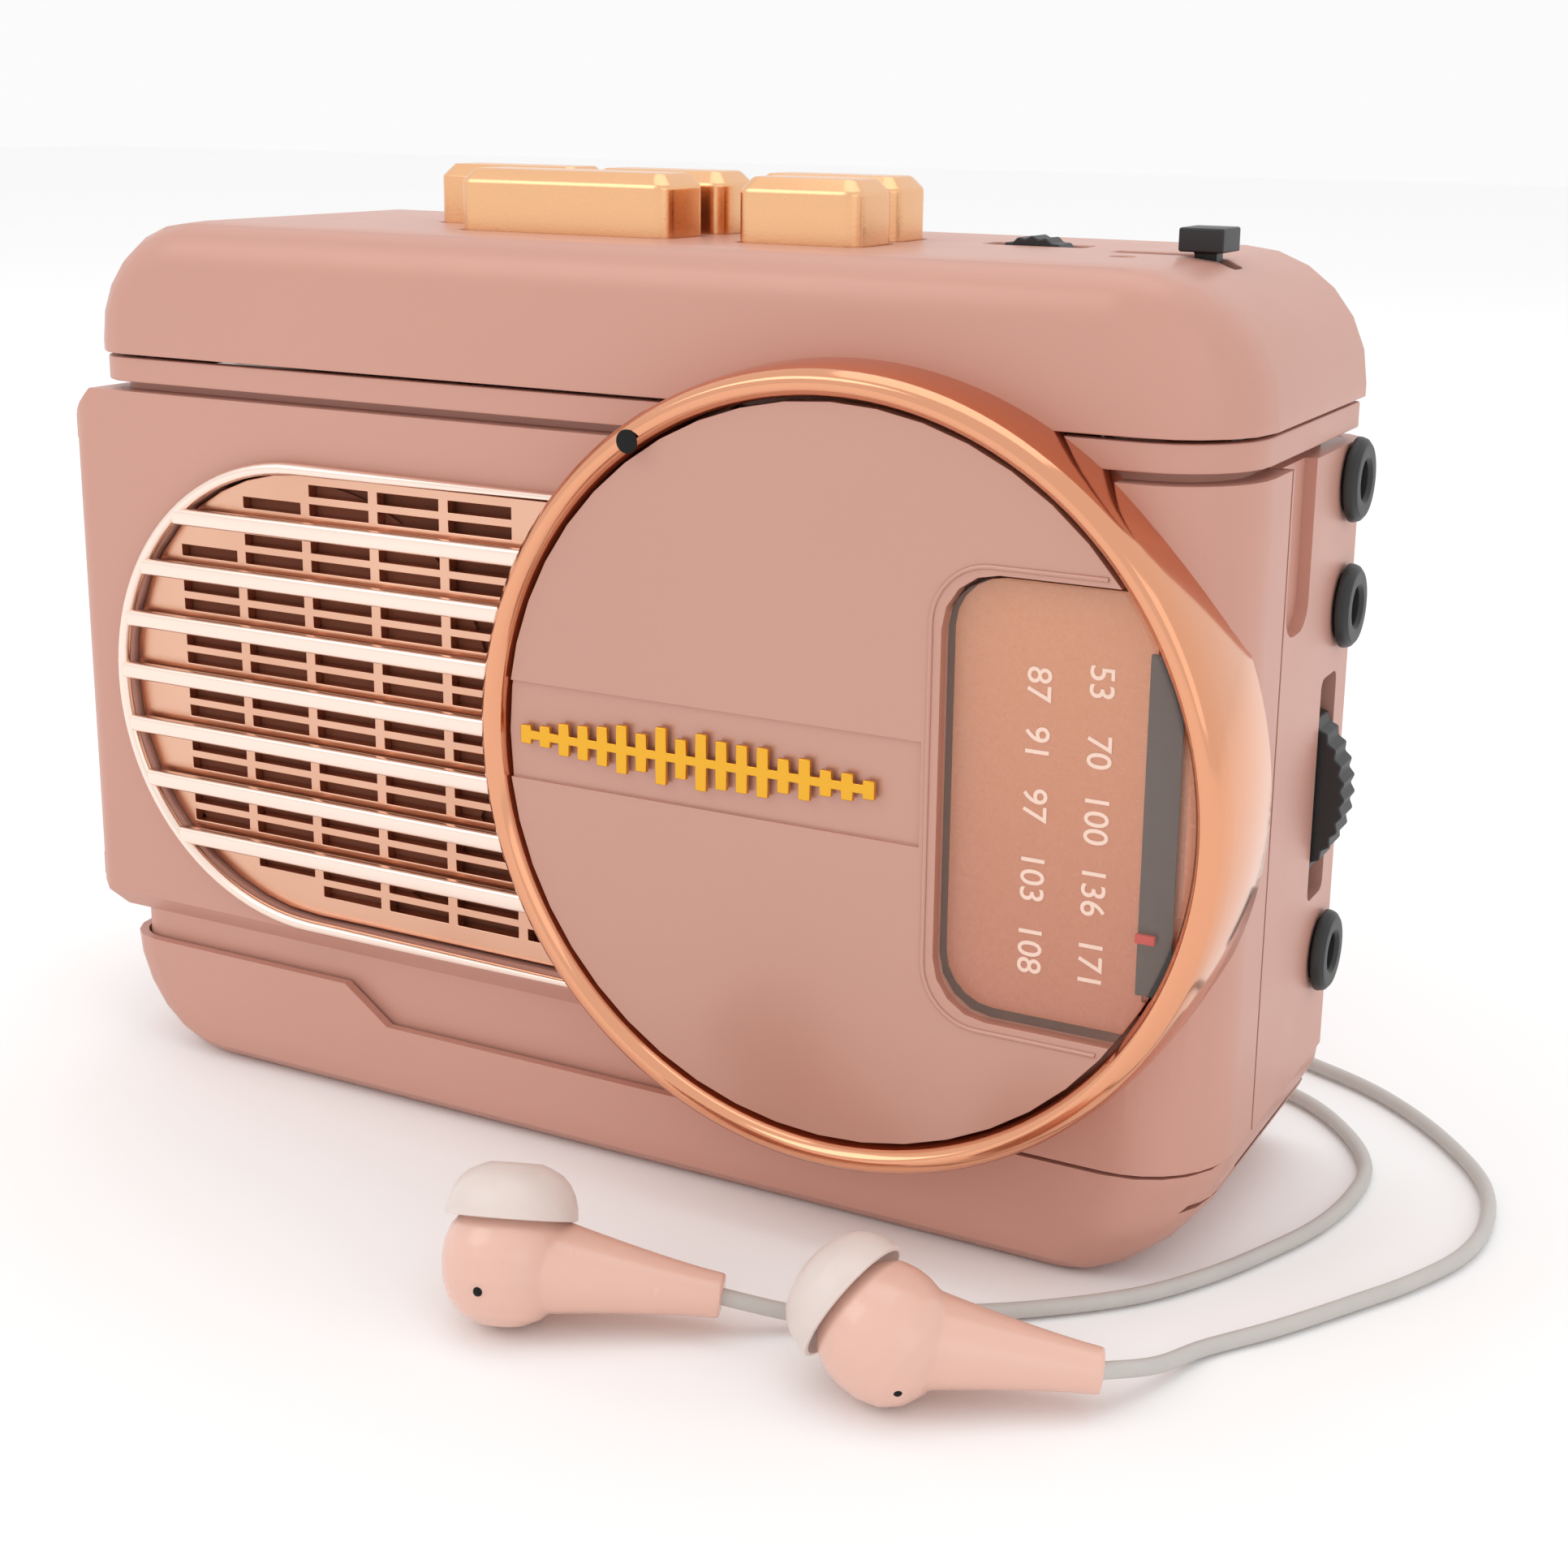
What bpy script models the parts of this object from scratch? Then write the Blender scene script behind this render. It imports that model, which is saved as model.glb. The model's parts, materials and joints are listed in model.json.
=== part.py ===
"""Personal cassette player with AM/FM radio and wired earphones.

Body coordinates are in millimetres: X to the right, Y from the front face (0) to the
back, Z up from the table. The whole player is shifted by CENTRE so that its box is
centred on the world origin.
"""
import math

import bmesh
import bpy
from mathutils import Matrix, Vector

MM = 0.001
CENTRE = Vector((0.65, -16.05, 0.0))

# Driving dimensions (mm)
LEFT, RIGHT = -61.0, 60.2          # cap and base sides
BELT_LEFT = -64.2                  # the middle belt stands out on the left
DEPTH = 38.1
HEIGHT = 87.8
WALL = 1.8
GAP = 0.35                         # between pieces that touch
CAP_BOTTOM = 74.6
BAND_BOTTOM, BAND_TOP = 71.8, 74.25
BELT_BOTTOM, BELT_TOP = 15.2, 70.9
SEAM = 14.0                        # between front panel and rear shell
ROUND_LEFT, ROUND_RIGHT, ROUND_BACK = 5.0, 9.0, 1.5
CAP_CORNER, BASE_CORNER = 12.0, 13.0
DIAL_X, DIAL_Z = 26.45, 43.6
RING_OUT, RING_IN = 35.8, 33.0
GRILLE_X, GRILLE_Z, GRILLE_R = -33.6, 41.6, 24.0
KEY_TOP, KEY_BOTTOM, KEY_TRAVEL = 93.6, 84.3, 3.0
HEAD_TOP = KEY_BOTTOM - KEY_TRAVEL - 0.5
CELLS_FRONT, CELLS_BACK = 4.5, 19.2   # room for an AA cell, 14.5 mm thick
HATCH_FRONT, HATCH_BACK = 3.65, 20.05
BAY_LEFT, BAY_RIGHT = -62.8, 40.9
DECK_BACK = 22.2
DOOR_FRONT = 36.6
HINGE_Y, HINGE_Z = 35.4, 11.6
REEL_Z = 38.6
TAPE_X = -10.6
REEL_GAP = 42.5
CAPSTAN_X, CAPSTAN_Z = 15.9, 64.5
MOTOR_X, MOTOR_Z = 40.0, 58.0
WHEEL_X, WHEEL_Z, WHEEL_R = 52.6, 38.6, 10.3
VOLUME_X, VOLUME_Z, VOLUME_R = 32.6, 83.5, 5.2
JACK_Y = 33.2
JACK_Z = {"phones": 67.5, "line_out": 55.8, "mic": 22.2}
CORD_D, MAIN_D = 1.4, 2.0


# ---------------------------------------------------------------- helpers
def clear_scene():
    for obj in list(bpy.data.objects):
        bpy.data.objects.remove(obj, do_unlink=True)


def material(name, rgb, rough, metal=0.0, alpha=1.0):
    found = bpy.data.materials.get(name)
    if found:
        return found
    mat = bpy.data.materials.new(name)
    mat.use_nodes = True
    shader = mat.node_tree.nodes["Principled BSDF"]
    shader.inputs["Base Color"].default_value = (*rgb, 1.0)
    shader.inputs["Roughness"].default_value = rough
    shader.inputs["Metallic"].default_value = metal
    shader.inputs["Alpha"].default_value = alpha
    mat.diffuse_color = (*rgb, alpha)
    return mat


def shell_plastic():
    return material("rose_satin_plastic", (0.60, 0.32, 0.25), 0.42, 0.25)


def trim_chrome():
    return material("rose_chrome", (0.80, 0.46, 0.32), 0.14, 1.0)


def key_metal():
    return material("copper_gold_satin", (0.80, 0.42, 0.20), 0.32, 1.0)


def black_plastic():
    return material("black_plastic", (0.03, 0.03, 0.03), 0.5)


def steel():
    return material("bright_steel", (0.62, 0.62, 0.60), 0.3, 1.0)


def finish(name, bm, at, mat, smooth=35.0):
    """Turn a bmesh drawn in mm around the point `at` into a named object."""
    bmesh.ops.remove_doubles(bm, verts=bm.verts, dist=1e-5)
    bmesh.ops.recalc_face_normals(bm, faces=bm.faces)
    bmesh.ops.transform(bm, matrix=Matrix.Scale(MM, 4), verts=bm.verts)
    mesh = bpy.data.meshes.new(name)
    bm.to_mesh(mesh)
    bm.free()
    mesh.shade_smooth()
    mesh.set_sharp_from_angle(angle=math.radians(smooth))
    obj = bpy.data.objects.new(name, mesh)
    obj.location = (Vector(at) + CENTRE) * MM
    bpy.context.scene.collection.objects.link(obj)
    if mat:
        mesh.materials.append(mat)
    return obj


def loft(name, sections, at=(0, 0, 0), mat=None, smooth=35.0):
    """Closed solid through outlines with the same number of 3-D points."""
    bm = bmesh.new()
    rings = [[bm.verts.new(Vector(p) - Vector(at)) for p in ring] for ring in sections]
    for low, high in zip(rings, rings[1:]):
        for i in range(len(low)):
            j = (i + 1) % len(low)
            bm.faces.new((low[i], low[j], high[j], high[i]))
    bm.faces.new(rings[0])
    bm.faces.new(rings[-1])
    return finish(name, bm, at, mat, smooth)


def lift(outline, axis, value):
    """Place a 2-D outline on the plane axis=value, keeping the other two in XYZ order."""
    place = {"X": lambda a, b: (value, a, b), "Y": lambda a, b: (a, value, b),
             "Z": lambda a, b: (a, b, value)}
    return [place[axis](a, b) for a, b in outline]


def prism(name, outline, axis, start, end, at=(0, 0, 0), mat=None):
    return loft(name, [lift(outline, axis, start), lift(outline, axis, end)], at, mat)


def box(name, x, y, z, at=(0, 0, 0), mat=None):
    outline = [(x[0], y[0]), (x[1], y[0]), (x[1], y[1]), (x[0], y[1])]
    return prism(name, outline, "Z", z[0], z[1], at, mat)


def arc(cx, cy, rx, ry, start, end, steps):
    turn = [math.radians(start + (end - start) * i / steps) for i in range(steps + 1)]
    return [(cx + rx * math.cos(t), cy + ry * math.sin(t)) for t in turn]


def round_rect(x0, x1, y0, y1, r, steps=4):
    corners = ((x1 - r, y0 + r, -90), (x1 - r, y1 - r, 0), (x0 + r, y1 - r, 90), (x0 + r, y0 + r, 180))
    return [p for cx, cy, a in corners for p in arc(cx, cy, r, r, a, a + 90, steps)]


def lathe(name, profile, axis, at, mat=None, steps=32, smooth=35.0):
    """Turn a closed (radius, height) profile around an axis through `at`."""
    bm = bmesh.new()
    verts = [bm.verts.new((r, 0.0, h)) for r, h in profile]
    edges = [bm.edges.new((verts[i], verts[(i + 1) % len(verts)])) for i in range(len(verts))]
    bmesh.ops.spin(bm, geom=verts + edges, axis=(0, 0, 1), cent=(0, 0, 0), steps=steps,
                   angle=math.tau, use_merge=True)
    bmesh.ops.remove_doubles(bm, verts=bm.verts, dist=1e-4)
    bmesh.ops.dissolve_degenerate(bm, dist=1e-5, edges=bm.edges)
    lone = [e for e in bm.edges if not e.link_faces]
    bmesh.ops.delete(bm, geom=lone, context="EDGES")
    turn = {"X": Matrix.Rotation(math.radians(90), 4, "Y"),
            "Y": Matrix.Rotation(math.radians(-90), 4, "X"), "Z": Matrix.Identity(4)}[axis]
    bmesh.ops.transform(bm, matrix=turn, verts=bm.verts)
    return finish(name, bm, at, mat, smooth)


def rod(name, radius, axis, start, end, at, mat=None, steps=20):
    return lathe(name, [(0, start), (radius, start), (radius, end), (0, end)], axis, at, mat, steps)


def combine(obj, tool, operation):
    """Boolean `tool` into obj; the tool stays as a hidden guide."""
    mod = obj.modifiers.new(tool.name, "BOOLEAN")
    mod.operation = operation
    mod.solver = "EXACT"
    mod.object = tool
    tool.hide_render = True
    tool.display_type = "WIRE"


def cut(obj, *tools):
    for tool in tools:
        combine(obj, tool, "DIFFERENCE")


def add(obj, *tools):
    for tool in tools:
        combine(obj, tool, "UNION")


def tube(name, route, diameter, mat, spacing):
    """Round cord: a POLY spline along a smooth curve through the route points (mm)."""
    points = smooth_route(route, spacing)
    curve = bpy.data.curves.new(name, "CURVE")
    curve.dimensions = "3D"
    curve.bevel_depth = diameter / 2 * MM
    curve.bevel_resolution = 2
    curve.use_fill_caps = True
    spline = curve.splines.new("POLY")
    spline.points.add(len(points) - 1)
    for slot, point in zip(spline.points, points):
        slot.co = (*((point + CENTRE) * MM), 1.0)
    obj = bpy.data.objects.new(name, curve)
    bpy.context.scene.collection.objects.link(obj)
    curve.materials.append(mat)
    return obj


def smooth_route(route, spacing):
    """Centripetal Catmull-Rom through the route, sampled evenly."""
    pts = [Vector(p) for p in route]
    pts = [2 * pts[0] - pts[1]] + pts + [2 * pts[-1] - pts[-2]]
    dense = []
    for p0, p1, p2, p3 in zip(pts, pts[1:], pts[2:], pts[3:]):
        t1 = (p1 - p0).length ** 0.5
        t2 = t1 + (p2 - p1).length ** 0.5
        t3 = t2 + (p3 - p2).length ** 0.5
        for k in range(24):
            t = t1 + (t2 - t1) * k / 24
            a1 = p0 * ((t1 - t) / t1) + p1 * (t / t1)
            a2 = p1 * ((t2 - t) / (t2 - t1)) + p2 * ((t - t1) / (t2 - t1))
            a3 = p2 * ((t3 - t) / (t3 - t2)) + p3 * ((t - t2) / (t3 - t2))
            b1 = a1 * ((t2 - t) / t2) + a2 * (t / t2)
            b2 = a2 * ((t3 - t) / (t3 - t1)) + a3 * ((t - t1) / (t3 - t1))
            dense.append(b1 * ((t2 - t) / (t2 - t1)) + b2 * ((t - t1) / (t2 - t1)))
    dense.append(pts[-2])
    total = sum((b - a).length for a, b in zip(dense, dense[1:]))
    count = max(2, round(total / spacing))
    out, run, goal = [dense[0]], 0.0, total / count
    for a, b in zip(dense, dense[1:]):
        step = (b - a).length
        while run + step >= goal * len(out) and len(out) < count:
            out.append(a.lerp(b, (goal * len(out) - run) / step))
        run += step
    out.append(dense[-1])
    return out


# ---------------------------------------------------------------- body outlines
def shrink(radius, y):
    """How far a rounded front edge has drawn in at depth y."""
    if radius <= 0 or y >= radius:
        return 0.0
    return radius - math.sqrt(max(radius ** 2 - (radius - y) ** 2, 0.0))


def plan(inset, y_end, left=LEFT, round_left=ROUND_LEFT):
    """Front part of the body seen from above, open path from left to right at y_end."""
    rl, rr = max(round_left - inset, 0.3), ROUND_RIGHT - inset
    x0, x1 = left + inset, RIGHT - inset
    path = [(x0, y_end)] + arc(x0 + rl, inset + rl, rl, rl, 180, 270, 5)
    return path + arc(x1 - rr, inset + rr, rr, rr, 270, 360, 8) + [(x1, y_end)]


def wall_prism(name, outer, inner, z0, z1, y_end, left=LEFT, round_left=ROUND_LEFT, mat=None):
    """U-shaped wall between two insets of the front plan."""
    ring = plan(outer, y_end, left, round_left) + plan(inner, y_end, left, round_left)[::-1]
    return prism(name, ring, "Z", z0, z1, (0, 0, 0), mat)


def body_sections(inset, z_flat, z_end, corner, round_z, top):
    """XZ outlines along Y of a rounded cap (top=True) or base (top=False)."""
    front = [inset + s for s in (0.0, 0.5, 1.6, 3.2, 5.6, ROUND_RIGHT - inset)]
    back = [DEPTH - inset - s for s in (ROUND_BACK, 0.4, 0.0)]
    sections = []
    for y in front + back:
        rear = shrink(max(ROUND_BACK - inset, 0.3), DEPTH - inset - y)
        il = shrink(ROUND_LEFT - inset, y - inset) + rear
        ir = shrink(ROUND_RIGHT - inset, y - inset) + rear
        iz = shrink(round_z - inset, y - inset) + rear
        rc = corner - inset
        x0, x1 = LEFT + inset, RIGHT - inset
        if top:
            zc = z_end - inset - rc
            outline = [(x0 + il, z_flat)] + arc(x0 + rc, zc, rc - il, rc - iz, 180, 90, 6)
            outline += arc(x1 - rc, zc, rc - ir, rc - iz, 90, 0, 6) + [(x1 - ir, z_flat)]
        else:
            zc = z_end + inset + rc
            outline = [(x0 + il, z_flat)] + arc(x0 + rc, zc, rc - il, rc - iz, 180, 270, 6)
            outline += arc(x1 - rc, zc, rc - ir, rc - iz, 270, 360, 6) + [(x1 - ir, z_flat)]
        sections.append(lift(outline, "Y", y))
    return sections


# ---------------------------------------------------------------- housing
def front_panel():
    mat = shell_plastic()
    end = SEAM - 0.1
    body = wall_prism("front_panel", 0, WALL, BELT_BOTTOM, BELT_TOP, end, BELT_LEFT, 3.0, mat)
    bar = wall_prism("g_bar", 1.5, 3.5, 66.0, BELT_TOP, end)
    tongue = wall_prism("g_tongue", 2.3, 3.5, 68.0, 73.6, end)
    skirt = wall_prism("g_skirt", 1.3, 3.1, 7.5, 17.2, end)
    corner = [p for p in plan(0, end) if p[0] > 30.0]
    inner = [p for p in plan(2.4, end) if p[0] > 30.0]
    low = prism("g_low", [(27.0, 0.0)] + corner + inner[::-1] + [(27.0, 2.4)], "Z", 11.35, 15.6)
    left_top = box("g_left_top", (-63.5, -58.0), (1.0, end), (65.5, BELT_TOP))
    left_low = box("g_left_low", (-63.5, -58.0), (1.0, end), (BELT_BOTTOM, 20.6))
    add(body, bar, tongue, skirt, low, left_top, left_low)
    chamfer_top = prism("c_top", [(-70, 61.5), (-60.2, 71.3), (-70, 71.3)], "Y", -1, 15)
    chamfer_low = prism("c_low", [(-70, 24.8), (-70, 14.8), (-60.2, 14.8)], "Y", -1, 15)
    sill = prism("c_sill", [(-1, 14.9), (1.3, 14.9), (1.3, 15.2), (0, 17.1), (-1, 17.1)], "X", -66, 27)
    speaker_hole = prism("c_speaker", grille_outline(GRILLE_R - 1.0, RING_OUT - 3.0), "Y", -1, 3.3)
    cable_hole = prism("c_dial", round_rect(52.2, 57.6, 26.0, 60.5, 1.0), "Y", -1, 5)
    cut(body, chamfer_top, chamfer_low, sill, speaker_hole, cable_hole)


def rear_shell():
    mat = shell_plastic()
    y0 = SEAM + 0.25
    left = [(BELT_LEFT, y0), (BAY_LEFT, y0), (BAY_LEFT, DEPTH), (BELT_LEFT + 1.2, DEPTH), (BELT_LEFT, 36.9)]
    body = prism("rear_shell", left, "Z", BELT_BOTTOM, BELT_TOP, (0, 0, 0), mat)
    x_wall = BAY_RIGHT + 1.0
    right = [(RIGHT, y0), (RIGHT, 36.6), (RIGHT - 1.5, DEPTH), (BAY_RIGHT, DEPTH), (BAY_RIGHT, 22.6),
             (x_wall, 22.6), (x_wall, 36.4), (RIGHT - WALL, 36.4), (RIGHT - WALL, y0)]
    side = prism("g_side", right, "Z", 11.35, BELT_TOP)
    rails = [box("g_rail_%d" % i, (-63.5, 59.0), (19.2, 20.6), z)
             for i, z in enumerate(((20.4, 25.0), (66.4, 70.6)))]
    left_top = box("g_rear_left_top", (-63.5, -61.0), (y0, 20.6), (67.0, BELT_TOP))
    left_low = box("g_rear_left_low", (-63.5, -61.0), (y0, 20.6), (BELT_BOTTOM, 19.2))
    lips = box("g_side_lip", (57.0, 58.9), (y0, 36.0), (68.0, BELT_TOP))
    lip = box("g_side_tongue", (57.0, 58.1), (y0, 30.0), (69.0, 73.6))
    add(body, *rails, side, left_top, left_low, lips, lip)
    high = [(-70, 64.8), (-63.9, 70.9), (-63.9, 71.3), (-70, 71.3)]
    chamfer_top = prism("c_rear_top", high, "Y", 10, 40)
    low = [(-70, 21.3), (-70, 14.8), (-63.9, 14.8), (-63.9, 15.2)]
    chamfer_low = prism("c_rear_low", low, "Y", 10, 40)
    scoop = prism("c_scoop", round_rect(14.6, 21.5, 56.0, 74.5, 2.6, 6), "X", RIGHT - 1.1, RIGHT + 1)
    slot = prism("c_slot", round_rect(27.9, 33.0, 28.4, 49.8, 1.0), "X", 55, 62)
    cut(body, chamfer_top, chamfer_low, scoop, slot)
    for name, z in JACK_Z.items():
        cut(body, rod("c_jack_" + name, 3.25, "X", -4, 3, (RIGHT, JACK_Y, z)))


def top_cap():
    body = loft("top_cap", body_sections(0, CAP_BOTTOM, HEIGHT, CAP_CORNER, 4.5, True), mat=shell_plastic())
    inner = loft("c_cap", body_sections(WALL, CAP_BOTTOM - 1, HEIGHT, CAP_CORNER, 4.5, True))
    cut(body, inner)
    for i, (_, x, y) in enumerate(KEYS):
        hole = round_rect(x[0] - GAP, x[1] + GAP, y[0] - GAP, y[1] + GAP, 1.6)
        cut(body, prism("c_key_%d" % i, hole, "Z", 80, 90))
    cut(body, prism("c_volume", round_rect(27.6, 37.6, 22.2, 26.3, 0.8), "Z", 80, 90))
    cut(body, prism("c_switch", round_rect(41.4, 52.7, 18.6, 21.4, 0.5), "Z", 80, 90))
    cut(body, rod("c_mic", 1.2, "Z", -3, 3, (44.4, 14.0, HEIGHT)))


def cap_band():
    end = 36.3
    outer = plan(0.35, end)
    inner = plan(1.8, end)[::-1]
    prism("cap_band", outer + inner, "Z", BAND_BOTTOM, BAND_TOP, (0, 0, 0), shell_plastic())


def base_shell():
    body = loft("base_shell", body_sections(0, 16.0, 0.0, BASE_CORNER, 3.5, False), mat=shell_plastic())
    inner = loft("c_base", body_sections(2.0, 17.0, 0.0, BASE_CORNER, 3.5, False))
    seat = wall_prism("c_seat", 1.0, 3.4, 7.15, 20, 40)
    edge = [(-70, 12.3), (-30.4, 12.3), (-25.2, 8.6), (25.0, 8.6), (27.4, 11.0), (70, 11.0), (70, 20),
            (-70, 20)]
    front_edge = prism("c_front_edge", edge, "Y", -2, SEAM + 5)
    step = [(-70, 12.3), (0, 12.3), (0, 11.0), (70, 11.0), (70, 20), (-70, 20)]
    rear_edge = prism("c_rear_edge", step, "Y", SEAM, 40)
    door_edge = box("c_door_edge", (BAY_LEFT, BAY_RIGHT + 1.4), (31.5, 40), (8.0, 20))
    hatch = prism("c_hatch", round_rect(-44.6, 38.6, CELLS_FRONT, CELLS_BACK, 1.0), "Z", -1, 3)
    rebate = box("c_rebate", (-66.0, 40.0 + GAP), (HATCH_FRONT - GAP, HATCH_BACK + GAP), (-1, 1.3))
    cut(body, inner, seat, front_edge, rear_edge, door_edge, hatch, rebate)


def battery_door():
    plate = round_rect(-46.0, 40.0, HATCH_FRONT, HATCH_BACK, 1.2)
    door = prism("battery_door", plate, "Z", 0.1, 1.0, (0, 12, 0), shell_plastic())
    for i in range(3):
        ridge = box("c_ridge_%d" % i, (-42.0 + i * 1.4, -41.3 + i * 1.4), (8.0, 16.0), (-1, 0.45))
        cut(door, ridge)


def battery_tray():
    out, back = CELLS_FRONT - 0.9, CELLS_BACK + 0.9
    roof = [(out, 5.8), (CELLS_FRONT, 5.8), (CELLS_FRONT, 19.0), (CELLS_BACK, 19.0), (CELLS_BACK, 5.8),
            (back, 5.8), (back, 19.9), (out, 19.9)]
    tray = prism("battery_tray", roof, "X", -54.8, 52.8, (0, 0, 0), black_plastic())
    ends = [box("g_tray_end_%d" % i, x, (4.0, 19.7), (5.8, 19.5))
            for i, x in enumerate(((-54.8, -54.0), (52.0, 52.8)))]
    add(tray, *ends)
    spring_turns, count = 3.5, 36
    route = []
    for i in range(count + 1):
        t = i / count
        angle, r = math.tau * spring_turns * t, 4.6 - 2.0 * t
        route.append((-53.2 + 5.0 * t, 11.85 + r * math.cos(angle), 11.7 + r * math.sin(angle)))
    tube("battery_spring", route, 0.7, steel(), 2.2)


# ---------------------------------------------------------------- cassette side
def cassette_door():
    at = (TAPE_X, HINGE_Y, HINGE_Z)
    mat = shell_plastic()
    x0, x1 = BAY_LEFT + 0.4, BAY_RIGHT - 0.4
    door = prism("cassette_door", round_rect(x0, x1, 9.9, 74.0, 1.0, 3), "Y", DOOR_FRONT, DEPTH, at, mat)
    for i, (a, b) in enumerate(((x0 + 0.1, x0 + 0.9), (x1 - 0.9, x1 - 0.1))):
        shape = [(24.6, 13.0), (37.0, 10.6), (37.0, 56.0), (33.0, 56.0), (24.6, 46.0)]
        add(door, prism("g_runner_%d" % i, shape, "X", a, b))
        inner = (a, b + 2.2) if i == 0 else (a - 2.2, b)
        add(door, box("g_runner_lip_%d" % i, inner, (24.6, 25.3), (14.5, 44.0)))
    knuckles = ((-58.0, -50.0), (28.0, 36.0))
    for i, (a, b) in enumerate(knuckles):
        add(door, rod("g_knuckle_%d" % i, 1.7, "X", a, b, (0, HINGE_Y, HINGE_Z), None, 20))
    cut(door, rod("c_hinge", 1.05, "X", -66, 44, (0, HINGE_Y, HINGE_Z), None, 20))
    cut(door, prism("c_door_glass", round_rect(-37.35, 16.15, 28.65, 52.35, 3.0), "Y", 37.2, 40))
    cut(door, prism("c_door_view", round_rect(-34.0, 12.8, 32.0, 49.0, 2.0), "Y", 30, 40))
    glass_mat = material("smoked_clear", (0.30, 0.22, 0.20), 0.06, 0.0, 0.5)
    prism("door_window", round_rect(-37.0, 15.8, 29.0, 52.0, 2.7), "Y", 37.5, 38.1, at, glass_mat)
    rod("hinge_pin", 0.7, "X", BAY_LEFT + 0.6, BAY_RIGHT - 0.6, (0, HINGE_Y, HINGE_Z), steel(), 16)


def deck_plate():
    side = [(21.0, 8.4), (32.2, 8.4), (32.2, 9.2), (DECK_BACK, 9.2), (DECK_BACK, 74.0), (21.0, 74.0)]
    plate = prism("deck_plate", side, "X", BAY_LEFT + 0.5, BAY_RIGHT - 0.4, (0, 0, 0), steel())
    holes = [(TAPE_X + s * REEL_GAP / 2, REEL_Z, 2.4) for s in (-1, 1)] + [(CAPSTAN_X, CAPSTAN_Z, 1.5)]
    for i, (x, z, r) in enumerate(holes):
        cut(plate, rod("c_deck_%d" % i, r, "Y", -4, 4, (x, 21.6, z)))
    for i, z in enumerate(((0.0, 12.65), (71.45, 80.0))):
        cut(plate, box("c_deck_corner_%d" % i, (-70.0, -58.8), (20, 33), z))
    cut(plate, prism("c_deck_window", round_rect(-24.0, 3.0, 46.0, 60.0, 2.0), "Y", 19, 24))


def reels():
    profile = [(0, 18.9), (4.6, 18.9), (4.6, 20.4), (1.9, 20.4), (1.9, 22.7), (5.2, 22.7), (5.2, 23.4),
               (2.6, 24.0), (2.6, 29.5), (1.0, 31.5), (0, 31.5)]
    for name, side in (("supply_spindle", -1), ("takeup_spindle", 1)):
        x = TAPE_X + side * REEL_GAP / 2
        spindle = lathe(name, profile, "Y", (x, 0, REEL_Z), black_plastic(), 16)
        for k in range(3):
            fin = box("g_%s_%d" % (name, k), (-0.45, 0.45), (24.2, 29.0), (1.5, 4.0))
            fin.location = Vector((x, 0, REEL_Z)) * MM + CENTRE * MM
            fin.rotation_euler = (0, math.radians(120 * k), 0)
            add(spindle, fin)


def drive():
    wheel = [(0, 13.75), (1.0, 13.75), (1.0, 14.6), (13.0, 14.6), (13.0, 15.6), (12.4, 16.0), (12.4, 16.9),
             (13.0, 17.3), (13.0, 18.3), (4.0, 18.3), (4.0, 18.9), (1.0, 18.9), (1.0, 33.6), (0.7, 34.0),
             (0, 34.0)]
    lathe("flywheel", wheel, "Y", (CAPSTAN_X, 0, CAPSTAN_Z), steel(), 28)
    can = [(0, 5.4), (9.2, 5.4), (10.0, 6.2), (10.0, 12.05), (3.0, 12.05), (3.0, 12.9), (0, 12.9)]
    lathe("motor", can, "Y", (MOTOR_X, 0, MOTOR_Z), steel(), 24)
    pulley = [(0, 13.9), (3.4, 13.9), (3.4, 15.2), (2.7, 15.9), (2.7, 16.9), (3.4, 17.6), (3.4, 18.2),
              (0, 18.2)]
    lathe("motor_pulley", pulley, "Y", (MOTOR_X, 0, MOTOR_Z), material("brass", (0.7, 0.5, 0.2), 0.3, 1.0), 18)
    bridge()
    belt()


def bridge():
    outline = round_rect(2.0, 53.0, 45.0, 70.5, 3.0)
    plate = prism("drive_bridge", outline, "Y", 12.4, 13.4, (0, 0, 0), steel())
    for i, (x, z) in enumerate(((5.5, 47.5), (50.0, 48.5), (50.0, 68.0))):
        add(plate, rod("g_post_%d" % i, 1.8, "Y", 13.0, 18.9, (x, 0, z), None, 16))
    cut(plate, rod("c_shaft", 3.35, "Y", 11, 15, (MOTOR_X, 0, MOTOR_Z), None, 24))


def belt():
    """Round belt on the two grooves: tangent lines and arcs around both wheels."""
    dx, dz = MOTOR_X - CAPSTAN_X, MOTOR_Z - CAPSTAN_Z
    span, heading = math.hypot(dx, dz), math.degrees(math.atan2(dz, dx))
    big, small = 13.55, 3.95
    lean = math.degrees(math.acos((big - small) / span))
    line = arc(CAPSTAN_X, CAPSTAN_Z, big, big, heading + lean, heading + 360 - lean, 20)
    line += arc(MOTOR_X, MOTOR_Z, small, small, heading - lean, heading + lean, 7)
    bm = bmesh.new()
    rings = []
    for i, (x, z) in enumerate(line):
        before, after = line[i - 1], line[(i + 1) % len(line)]
        along = Vector((after[0] - before[0], 0, after[1] - before[1])).normalized()
        out = Vector((along.z, 0, -along.x))
        ring = [Vector((x, 16.4, z)) + out * (0.45 * math.cos(a)) + Vector((0, 0.45 * math.sin(a), 0))
                for a in (math.tau * k / 6 for k in range(6))]
        rings.append([bm.verts.new(p) for p in ring])
    for i, low in enumerate(rings):
        high = rings[(i + 1) % len(rings)]
        for k in range(6):
            bm.faces.new((low[k], low[(k + 1) % 6], high[(k + 1) % 6], high[k]))
    finish("drive_belt", bm, (0, 0, 0), material("belt_rubber", (0.02, 0.02, 0.02), 0.7))


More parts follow.
